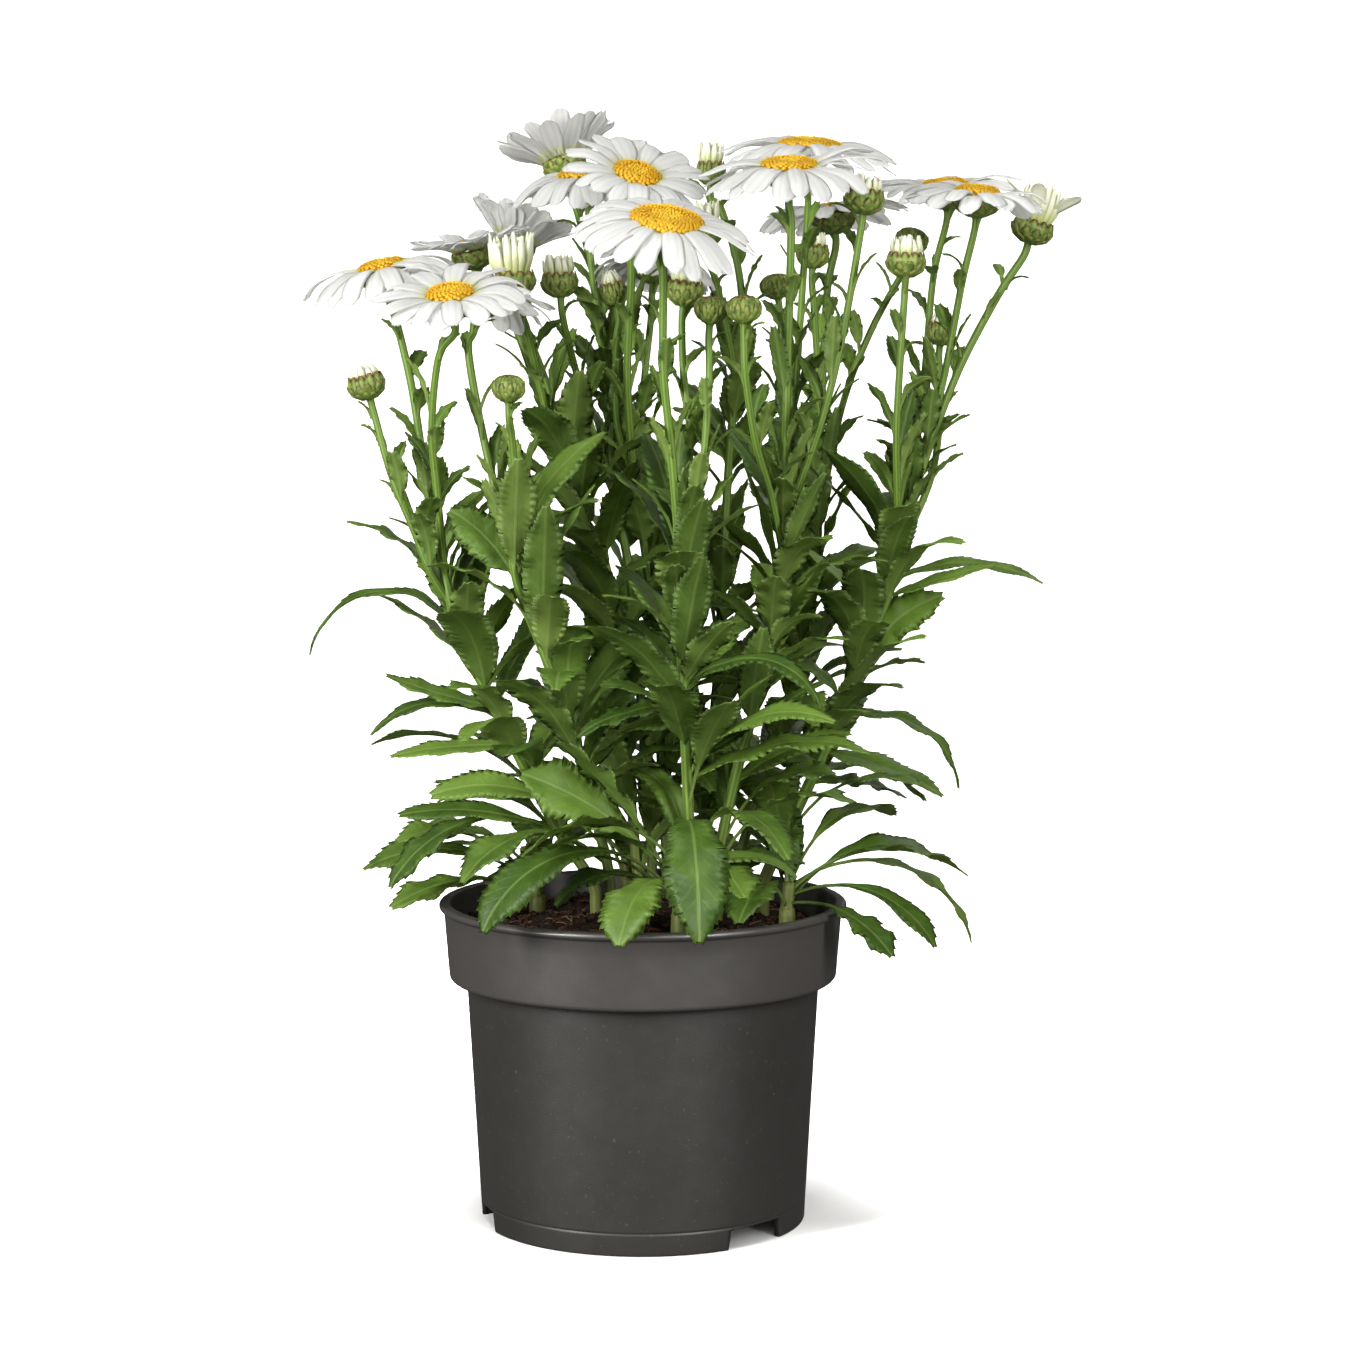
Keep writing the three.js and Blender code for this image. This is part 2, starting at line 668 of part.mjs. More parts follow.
function firstClear(shares, changes, make) {
  for (const share of shares) {
    for (const change of changes) {
      const found = make(share, change);
      if (found) {
        return found;
      }
    }
  }
  return null;
}

// A bloom's white part is one piece: a thin plate whose rim runs out into the petals.
function corollaSolid(head) {
  const points = [onHead(head, 0, 0, PETAL_THICKNESS), onHead(head, 0, 0, 0)];
  const put = (point) => points.push(point) - 1;
  const edges = Array.from({ length: PETALS }, (_, i) =>
    put(onHead(head, ROOT_RADIUS, ((i - 0.5) / PETALS) * 2 * Math.PI, 0)),
  );
  const faces = [];
  for (let i = 0; i < PETALS; i++) {
    const left = edges[i];
    const right = edges[(i + 1) % PETALS];
    const petal = head.petals[i];
    faces.push([1, right, left]);
    if (!petal) {
      faces.push([0, left, right]);
      continue;
    }
    const ridge = put(onHead(head, ROOT_RADIUS, (i / PETALS) * 2 * Math.PI, PETAL_THICKNESS));
    faces.push([0, left, ridge], [0, ridge, right]);
    let [l, t, r] = [left, ridge, right];
    for (const [s, share] of PETAL_SECTIONS) {
      const half = (petal.width / 2) * share;
      const nextLeft = put(petalPoint(head, petal, s, -half, 0));
      const nextRidge = put(petalPoint(head, petal, s, 0, PETAL_THICKNESS));
      const nextRight = put(petalPoint(head, petal, s, half, 0));
      faces.push([l, nextLeft, nextRidge], [l, nextRidge, t]);
      faces.push([t, nextRidge, nextRight], [t, nextRight, r]);
      faces.push([l, r, nextRight], [l, nextRight, nextLeft]);
      [l, t, r] = [nextLeft, nextRidge, nextRight];
    }
    const tip = put(petalPoint(head, petal, 1, 0, 0.2));
    faces.push([l, tip, t], [t, tip, r], [l, r, tip]);
  }
  return solid(points, faces);
}

// The disc: a low dome whose florets stand out as a relief of points.
function discSolid(head) {
  const ring = (share, height, bump, shift) =>
    Array.from({ length: DISC_SIDES }, (_, i) => {
      const angle = ((i + shift) / DISC_SIDES) * 2 * Math.PI;
      const out = i % 2 ? bump : -bump;
      return onHead(head, head.disc * share + out * 0.5, angle, DISC_BED + height + out);
    });
  return loft([
    [onHead(head, 0, 0, DISC_BED)],
    ring(0.72, 0, 0, 0),
    ring(1, 1.6, 0.2, 0.5),
    ring(0.84, 2.8, 0.4, 0),
    ring(0.48, 3.7, 0.35, 0.5),
    [onHead(head, 0, 0, DISC_BED + 3.2)],
  ]);
}

// A bud's petals: a crown with a point for each petal and a groove between them.
function tuftSolid(head) {
  const sides = head.count * 2;
  const spread = head.tall * Math.tan(head.splay * DEGREE);
  const ring = (share, height, groove, drop) =>
    Array.from({ length: sides }, (_, i) => {
      const radius = head.size * share + (spread * height) / head.tall;
      const inner = i % 2;
      const angle = (i / sides) * 2 * Math.PI;
      return onHead(head, radius * (inner ? groove : 1), angle, height * (inner ? drop : 1));
    });
  const pieces = [
    loft([
      [onHead(head, 0, 0, SEAT)],
      ring(0.6, SEAT, 1, 1),
      ring(0.86, head.tall * 0.5, 0.78, 1),
      ring(0.74, head.tall, 0.86, head.notch || 0.74),
      [onHead(head, 0, 0, head.tall * 0.55)],
    ]),
  ];
  for (let i = 0; i < (head.open || 0); i++) {
    const angle = ((i + 0.5) / head.open) * 2 * Math.PI;
    const length = head.tall * 1.3;
    const petal = { angle, root: head.size * 0.3, height: SEAT + 1.4, lift: 24, curl: 6, length };
    const section = (s, half) => [
      petalPoint(head, petal, s, -half, 0),
      petalPoint(head, petal, s, 0, -0.6),
      petalPoint(head, petal, s, half, 0),
      petalPoint(head, petal, s, 0, 0.7),
    ];
    const root = petalPoint(head, petal, 0, 0, 0);
    const tip = petalPoint(head, petal, 1, 0, 0);
    pieces.push(loft([[root], section(0.3, 2.4), section(0.8, 3.8), [tip]]));
  }
  return joined(pieces);
}

// The cup of bracts under a head, with its scales as a relief of points. A closed bud has a domed top.
function cupRings(head) {
  const ring = (share, height, bump) =>
    Array.from({ length: CUP_SIDES }, (_, i) => {
      const angle = (i / CUP_SIDES) * 2 * Math.PI;
      return onHead(head, head.cup * share + (i % 2 ? bump : -bump), angle, height);
    });
  const body = ring(0.9, -CUP_DEPTH * 0.5, 0.3);
  if (head.kind === "closed") {
    return [body, ring(1, 0, -0.3), ring(0.66, head.cup * 0.45, 0.4), [onHead(head, 0, 0, head.cup * 0.6)]];
  }
  const rim = head.kind === "bloom" ? -SEAT : 0;
  return [body, ring(0.97, rim, -0.3), [onHead(head, 0, 0, rim)]];
}

// A leaf's middle line bends in one upright plane, and its blade rolls round that line.
function leafPoint(leaf, s, side, height) {
  const { out, up, slope } = arc(leaf.length, leaf.from, leaf.to, s);
  const heading = leaf.azimuth * DEGREE;
  const outward = [Math.cos(heading), Math.sin(heading), 0];
  const level = [-Math.sin(heading), Math.cos(heading), 0];
  const normal = add([0, 0, Math.cos(slope)], outward, -Math.sin(slope));
  const turn = leaf.roll * DEGREE;
  const across = add(add([0, 0, 0], level, Math.cos(turn)), normal, Math.sin(turn));
  const above = add(add([0, 0, 0], normal, Math.cos(turn)), level, -Math.sin(turn));
  const middle = add(add(leaf.base, outward, out), [0, 0, up]);
  return add(add(middle, across, side), above, height);
}

// Half the blade's width: lower leaves are widest past the middle, upper leaves before it.
function halfWidth(leaf, v) {
  const peak = leaf.stalked ? 1.45 : 0.85;
  const swell = Math.pow(Math.max(Math.sin(Math.PI * Math.pow(v, peak)), 0), 0.75);
  return LEAF_FOOT + (leaf.width / 2 - LEAF_FOOT) * swell;
}

function leafBalls(leaf, node) {
  const steps = Math.ceil(leaf.length / 6);
  const balls = [];
  for (let i = 0; i <= steps; i++) {
    const s = i / steps;
    const v = (s - leaf.petiole) / (1 - leaf.petiole);
    const half = v > 0 ? halfWidth(leaf, v) : LEAF_FOOT;
    const sides = v > 0 ? [-0.66, 0, 0.66] : [0];
    for (const side of sides) {
      balls.push({
        at: leafPoint(leaf, s, side * half, Math.abs(side) * half * LEAF_FOLD),
        radius: Math.max(half / 3 + 0.6, v > 0 ? 3 : 2),
        root: s * leaf.length < ROOT_LENGTH,
        node,
      });
    }
  }
  return balls;
}

// A toothed blade: both faces have the same triangles, and meet in a sharp edge.
function leafSolid(leaf) {
  const teeth = leaf.teeth;
  const onBlade = (v, side, height) => {
    const s = leaf.petiole + (1 - leaf.petiole) * v;
    return leafPoint(leaf, s, side, Math.abs(side) * LEAF_FOLD + height);
  };
  const points = [];
  const put = (point) => points.push(point) - 1;
  const faces = [];
  const rib = [];
  for (let i = 0; i < teeth; i++) {
    const v = i / teeth;
    const thick = (BLADE_THICKNESS / 2) * (1 - 0.3 * v);
    rib.push([put(onBlade(v, 0, thick)), put(onBlade(v, 0, -thick))]);
  }
  const tip = put(onBlade(1, 0, 0));
  rib.push([tip, tip]);
  const foot = { [-1]: put(onBlade(0, -LEAF_FOOT, 0)), 1: put(onBlade(0, LEAF_FOOT, 0)) };
  for (const hand of [-1, 1]) {
    const face = (a, b, c) => {
      faces.push(hand > 0 ? [a[0], b[0], c[0]] : [a[0], c[0], b[0]]);
      faces.push(hand > 0 ? [a[1], c[1], b[1]] : [a[1], b[1], c[1]]);
    };
    let notch = foot[hand];
    for (let i = 1; i <= teeth; i++) {
      const high = (i - 0.32) / teeth;
      const low = (i - 0.12) / teeth;
      const peak = put(onBlade(high, hand * halfWidth(leaf, high) * 1.14, 0));
      const edge = [notch, notch];
      const point = [peak, peak];
      face(rib[i - 1], point, edge);
      if (i === teeth) {
        face(rib[i - 1], rib[i], point);
      } else {
        const valley = put(onBlade(low, hand * halfWidth(leaf, low) * 0.78, 0));
        face(rib[i - 1], [valley, valley], point);
        face(rib[i - 1], rib[i], [valley, valley]);
        notch = valley;
      }
    }
  }
  // The stalk of the leaf narrows to a point inside the stem.
  const root = put(leafPoint(leaf, -0.4 / leaf.length, 0, 0));
  const [top, bottom] = rib[0];
  faces.push([root, foot[-1], top], [root, top, foot[1]]);
  faces.push([root, foot[1], bottom], [root, bottom, foot[-1]]);
  return solid(points, faces);
}

function leafFrom(stem, [height, azimuth, from, to, length, width, roll]) {
  const place = shareAt(stem, height);
  const heading = azimuth * DEGREE;
  const depth = FLAT_SHARE * stemRadius(stem)(place) - LEAF_SUNK;
  const middle = onChord(stem.path, stem.sections, place);
  const base = add(middle, [Math.cos(heading), Math.sin(heading), 0], depth);
  const stalk = height < 200 && length > 60 ? 0.28 * length : 0;
  const petiole = Math.max(stalk, 1 + 1.2 / Math.cos(Math.min(from, 75) * DEGREE)) / length;
  const teeth = length > LONG_LEAF ? 4 : length > SHORT_LEAF ? 3 : 2;
  return { base, azimuth, from, to, length, width, roll, petiole, teeth, stalked: stalk > 0 };
}

function grow(stem, wish, turns, shares, bends) {
  for (const share of shares) {
    for (const bend of bends) {
      for (const turn of turns) {
        const leaf = leafFrom(stem, [
          wish[0],
          wish[1] + turn,
          wish[2] + bend,
          wish[3] + bend,
          wish[4] * share,
          wish[5] * Math.sqrt(share),
          wish[6],
        ]);
        if (clear(leafBalls(leaf, stem.name), stem.name)) {
          take(leafBalls(leaf, stem.name));
          return leaf;
        }
      }
    }
  }
  return null;
}

// Leaves follow each other round the stem by the golden angle, long below and short above.
function ruledLeaves(stem, index) {
  const random = seeded(301 + 71 * index);
  const { from, to, step, azimuth, size } = stem.leaves;
  const crown = to < SOIL_CROWN + 20;
  const leaves = [];
  for (let i = 0; from + i * step <= to; i++) {
    const draws = [random(), random(), random(), random()];
    const height = from + (i + 0.4 * (draws[0] - 0.5)) * step;
    const rise = Math.min(Math.max((height - 165) / 200, 0), 1);
    const length = size * mix(104, 46, rise) * (0.85 + 0.3 * draws[1]);
    const width = mix(23, 15, rise) * (0.88 + 0.24 * draws[2]);
    const start = crown ? 34 + 40 * draws[3] : mix(56, 72, rise);
    const end = crown ? start - 84 : mix(-36, 34, rise) + 40 * (draws[3] - 0.5);
    const wish = [height, azimuth + GOLDEN_ANGLE * i, start, end, length, width, 16 * (draws[0] - 0.5)];
    leaves.push(grow(stem, wish, LEAF_TURNS, LEAF_SHARES, LEAF_BENDS));
  }
  return leaves.filter(Boolean);
}

const blooms = heads.filter((head) => head.kind === "bloom");
const tufts = heads.filter((head) => head.kind === "tuft");
const number = (i) => String(i + 1).padStart(2, "0");
blooms.forEach((head, i) => {
  head.name = `bloom_${number(i)}`;
  head.petals = petalsOf(head, head.name);
});
stems.forEach((stem) => {
  const grown = stem.chosen.map((wish) => grow(stem, wish, CHOSEN_TURNS, CHOSEN_SHARES, CHOSEN_BENDS));
  stem.grown = grown.filter(Boolean);
});
stems.forEach((stem, i) => stem.grown.push(...ruledLeaves(stem, i)));

function stemSolid(stem) {
  const own = heads.filter((head) => head.stem === stem);
  const stalkRadius = (t) => (t > 0.99 ? NECK_RADIUS : STALK_RADIUS);
  const radiusAt = (t) => (own.length && t > 0.99 ? NECK_RADIUS : stemRadius(stem)(t));
  const main = rodRings(stem.path, stem.sections, radiusAt);
  const top = own.length ? cupRings(own[0]) : [[stem.path[stem.path.length - 1]]];
  const pieces = [loft([[stem.path[0]], ...main, ...top])];
  for (const head of own.slice(1)) {
    const stalk = rodRings(head.path, STALK_SECTIONS, (t) => (t > 0 ? stalkRadius(t) : FORK_RADIUS));
    pieces.push(loft([[head.path[0]], ...stalk, ...cupRings(head)]));
  }
  return joined([...pieces, ...stem.grown.map(leafSolid)]);
}

function lathe(profile, sides) {
  const outline = profile.map(([radius, height]) => new THREE.Vector2(radius, height));
  const geometry = new THREE.LatheGeometry([...outline, outline[0]], sides);
  geometry.rotateX(Math.PI / 2);
  return solidOf(geometry);
}

function upright(radius, low, high, x, y, sides) {
  const geometry = new THREE.CylinderGeometry(radius, radius, high - low, sides);
  geometry.rotateX(Math.PI / 2);
  geometry.translate(x, y, (low + high) / 2);
  return solidOf(geometry);
}

function potSolid() {
  const collarLow = POT_HEIGHT - COLLAR_HEIGHT;
  const inner = LIP_RADIUS - 5.2;
  const profile = [
    [FOOT_RADIUS - FOOT_WALL, 0],
    [FOOT_RADIUS, 0],
    [BODY_TOP_RADIUS, collarLow],
    [COLLAR_LOW_RADIUS - COLLAR_ROUND, collarLow],
    [COLLAR_LOW_RADIUS, collarLow + COLLAR_ROUND],
    [COLLAR_TOP_RADIUS, POT_HEIGHT - LIP_HEIGHT],
    [LIP_RADIUS, POT_HEIGHT - LIP_HEIGHT + 0.4],
    [LIP_RADIUS, POT_HEIGHT],
    [inner, POT_HEIGHT],
    [COLLAR_LOW_RADIUS - WALL - 0.6, collarLow + COLLAR_ROUND],
    [BODY_TOP_RADIUS - WALL, collarLow - WALL],
    [FOOT_RADIUS - WALL, FLOOR_TOP],
    [0.01, FLOOR_TOP],
    [0.01, FLOOR_TOP - FLOOR_THICKNESS],
    [FOOT_RADIUS - FOOT_WALL, FLOOR_TOP - FLOOR_THICKNESS],
  ];
  let pot = lathe(profile, POT_SIDES);
  pot = pot.add(upright(0.5, FLOOR_TOP - FLOOR_THICKNESS, FLOOR_TOP, 0, 0, 6));
  for (const azimuth of NOTCH_AZIMUTHS) {
    const shape = new THREE.Shape();
    shape.moveTo(-NOTCH_WIDTH_LOW / 2, -1);
    shape.lineTo(NOTCH_WIDTH_LOW / 2, -1);
    shape.lineTo(NOTCH_WIDTH_HIGH / 2, NOTCH_HEIGHT);
    shape.lineTo(-NOTCH_WIDTH_HIGH / 2, NOTCH_HEIGHT);
    const cutter = new THREE.ExtrudeGeometry(shape, { depth: 20, bevelEnabled: false });
    cutter.rotateX(Math.PI / 2);
    cutter.translate(0, -FOOT_RADIUS + 12, 0);
    cutter.rotateZ((azimuth + 90) * DEGREE);
    pot = pot.subtract(solidOf(cutter));
  }
  for (let i = 0; i < DRAIN_COUNT; i++) {
    const angle = ((i + 0.5) / DRAIN_COUNT) * 2 * Math.PI;
    const x = DRAIN_CIRCLE * Math.cos(angle);
    const y = DRAIN_CIRCLE * Math.sin(angle);
    pot = pot.subtract(upright(DRAIN_RADIUS, 5, FLOOR_TOP + 1, x, y, DRAIN_SIDES));
  }
  return pot;
}

function soilSolid() {
  const random = seeded(77);
  const gap = SOIL_GAP / Math.cos(Math.PI / POT_SIDES);
  const collarLow = POT_HEIGHT - COLLAR_HEIGHT;
  const ring = (radius, height, lump) =>
    Array.from({ length: SOIL_SIDES }, (_, i) => {
      const angle = (i / SOIL_SIDES) * 2 * Math.PI;
      return [radius * Math.cos(angle), radius * Math.sin(angle), height + lump * (random() - 0.5) * 2];
    });
  const shrink = Math.cos(Math.PI / POT_SIDES);
  const wall = COLLAR_LOW_RADIUS - WALL - 0.6;
  const top = (share) => mix(SOIL_EDGE, SOIL_CROWN, 1 - share * share);
  let soil = loft([
    [[0, 0, FLOOR_TOP + SEAT]],
    ring((FOOT_RADIUS - WALL - gap) * shrink, FLOOR_TOP + SEAT, 0),
    ring((BODY_TOP_RADIUS - WALL - gap) * shrink, collarLow - WALL, 0),
    ring((wall - gap) * shrink, collarLow + COLLAR_ROUND + 0.6, 0),
    ring((wall - gap) * shrink, SOIL_EDGE - 1, 0),
    ...SOIL_RINGS.map((share) => ring(wall * share * shrink - gap, top(share), SOIL_LUMP)),
    [[0, 0, SOIL_CROWN]],
  ]);
  for (const stem of stems) {
    const [x, y] = stem.route[0];
    const radius = (stem.radius + HOLE_CLEARANCE) / Math.cos(Math.PI / HOLE_SIDES);
    soil = soil.subtract(upright(radius, HOLE_FLOOR, SOIL_CROWN + 10, x, y, HOLE_SIDES));
  }
  return soil;
}

const FINISHES = {
  pot: { color: 0x4b4743, roughness: 0.42 },
  soil: { color: 0x2a1c14, roughness: 0.95 },
  green: { color: 0x4f8232, roughness: 0.55 },
  petals: { color: 0xf2f1ee, roughness: 0.6 },
  disc: { color: 0xe8a712, roughness: 0.8 },
  bud: { color: 0xdfe6c4, roughness: 0.6 },
};

const daisy = new THREE.Group();

function place(name, manifold, finish) {
  const material = new THREE.MeshStandardMaterial({ ...FINISHES[finish], metalness: 0 });
  const mesh = new THREE.Mesh(geometryOf(manifold), material);
  mesh.name = name;
  daisy.add(mesh);
}

place("pot", potSolid(), "pot");
place("soil", soilSolid(), "soil");
stems.forEach((stem) => place(stem.name, stemSolid(stem), "green"));
blooms.forEach((head) => {
  place(`${head.name}_petals`, corollaSolid(head), "petals");
  place(`${head.name}_disc`, discSolid(head), "disc");
});
tufts.forEach((head, i) => place(`bud_${number(i)}_petals`, tuftSolid(head), "bud"));

export default daisy;
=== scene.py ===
"""A potted shasta daisy. Each piece is built in millimetres in the CAD part's own frame, from the same
rules of growth, and then scaled to metres. -Y is the side that is seen first."""

import functools
import json
import math

import bpy
import numpy as np
from mathutils import Matrix, Vector, noise

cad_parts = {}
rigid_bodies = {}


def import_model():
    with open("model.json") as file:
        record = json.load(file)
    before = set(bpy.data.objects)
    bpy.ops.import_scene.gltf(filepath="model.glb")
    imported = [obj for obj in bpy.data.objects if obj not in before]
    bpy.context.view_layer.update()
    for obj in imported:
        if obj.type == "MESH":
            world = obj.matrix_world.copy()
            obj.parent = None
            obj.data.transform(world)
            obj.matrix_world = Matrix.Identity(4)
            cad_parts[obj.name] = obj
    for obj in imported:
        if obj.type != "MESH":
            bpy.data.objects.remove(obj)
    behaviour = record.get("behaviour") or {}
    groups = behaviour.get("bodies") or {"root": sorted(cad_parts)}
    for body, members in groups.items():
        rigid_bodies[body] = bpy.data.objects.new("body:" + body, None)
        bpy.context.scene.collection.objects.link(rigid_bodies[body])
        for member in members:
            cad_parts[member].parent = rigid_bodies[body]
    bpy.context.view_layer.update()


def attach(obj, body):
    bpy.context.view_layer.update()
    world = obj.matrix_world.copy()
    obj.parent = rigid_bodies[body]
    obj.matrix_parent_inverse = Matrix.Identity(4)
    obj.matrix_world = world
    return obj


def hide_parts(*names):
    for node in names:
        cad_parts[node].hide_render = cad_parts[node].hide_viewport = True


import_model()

bl_info = {
    "name": "Potted Shasta Daisy",
    "version": (1, 0, 0),
    "blender": (4, 5, 0),
    "location": "View3D > Sidebar > Daisy",
    "description": "Builds a shasta daisy in flower in its nursery pot, piece by piece",
    "category": "Add Mesh",
}

MM = 0.001
DEGREE = math.pi / 180
BODY = "root"

# The pot and the soil.
POT_HEIGHT = 150
LIP_RADIUS = 95
COLLAR_TOP_RADIUS = 92.7
COLLAR_LOW_RADIUS = 90.4
COLLAR_LOW = 114
BODY_TOP_RADIUS = 82.3
FOOT_RADIUS = 75.7
FOOT_WALL = 3
WALL = 2
FLOOR_TOP = 12
FLOOR_LOW = 10
NOTCH_AZIMUTHS = (-47, 73, 193)
NOTCH_HEIGHT = 9.8
NOTCH_WIDTH_LOW = 33
NOTCH_WIDTH_HIGH = 30
DRAIN_COUNT = 4
DRAIN_RADIUS = 5
DRAIN_CIRCLE = 52
SOIL_GAP = 0.4
SOIL_EDGE = 137
SOIL_CROWN = 145
# The pot's inside at the soil, and its small rounded corners and seam.
INNER_RADIUS = COLLAR_LOW_RADIUS - WALL - 0.6
INNER_LIP = 0.8
FOOT_ROUND = 0.7
SEAM_DEPTH = 0.25
# How finely round shapes are divided.
POT_SIDES = 144
DRAIN_SIDES = 24
SOIL_SIDES = 210
SOIL_RINGS = 84
CRUMB_SIDES = 6
FIBRE_SIDES = 5
ROD_SIDES = 14
CUP_SIDES = 28
DISC_SIDES = 40
FLORET_SIDES = 5
HEART_SIDES = 16

# What every stem and head shares.
STEM_FOOT = 120.3
STEM_SIDES = 5
MAIN_SECTIONS = 8
SHOOT_SECTIONS = 3
STALK_SECTIONS = 4
STALK_RADIUS = 1.8
NECK_RADIUS = 2.7
BLOOM_CUP = 10.8
CUP_DEPTH = 7.5
PETALS = 14
PETAL_WIDTH = 11.6
ROOT_RADIUS = 11
LAYER_LIFT = 7
DISC_BED = 1.8
LEAF_FOLD = 0.22
LEAF_FOOT = 1.1
ROOT_LENGTH = 14
GOLDEN_ANGLE = 137.5

# Room that blades keep, and how they give way when their place is taken. Stems are known by their own
# numbers, blooms by those from FIRST_BLOOM on, and all cups and buds by one.
ROOM = 0.6
PETAL_BALL = 2.3
LOWEST_TIP = 60
FIRST_BLOOM = 100
ALL_CUPS = 900
OWN_SHARE = 0.55
LEAF_SUNK = 0.6
STALKED_BELOW = 200
STALKED_LENGTH = 60
STALK_SHARE = 0.28
FLAT_SHARE = math.cos(math.pi / STEM_SIDES)
PETAL_SHARES = (1, 0.84, 0.66)
PETAL_LIFTS = (0, 9, -9, 18, -18, 28, -28, 40, -42, 52, -56)
STEEPEST_UNDER_DISC = 28
LEAF_SHARES = (1, 0.82, 0.64, 0.48)
LEAF_BENDS = (0, 14, -14, 28)
LEAF_TURNS = (0, 14, -14, 28, -28, 44, -44, 62, -62, 82, -82)
CHOSEN_SHARES = (1, 0.9, 0.78)
CHOSEN_BENDS = (0, 8, -8, 16, -16)
CHOSEN_TURNS = (0, 7, -7, 14, -14, 24, -24)

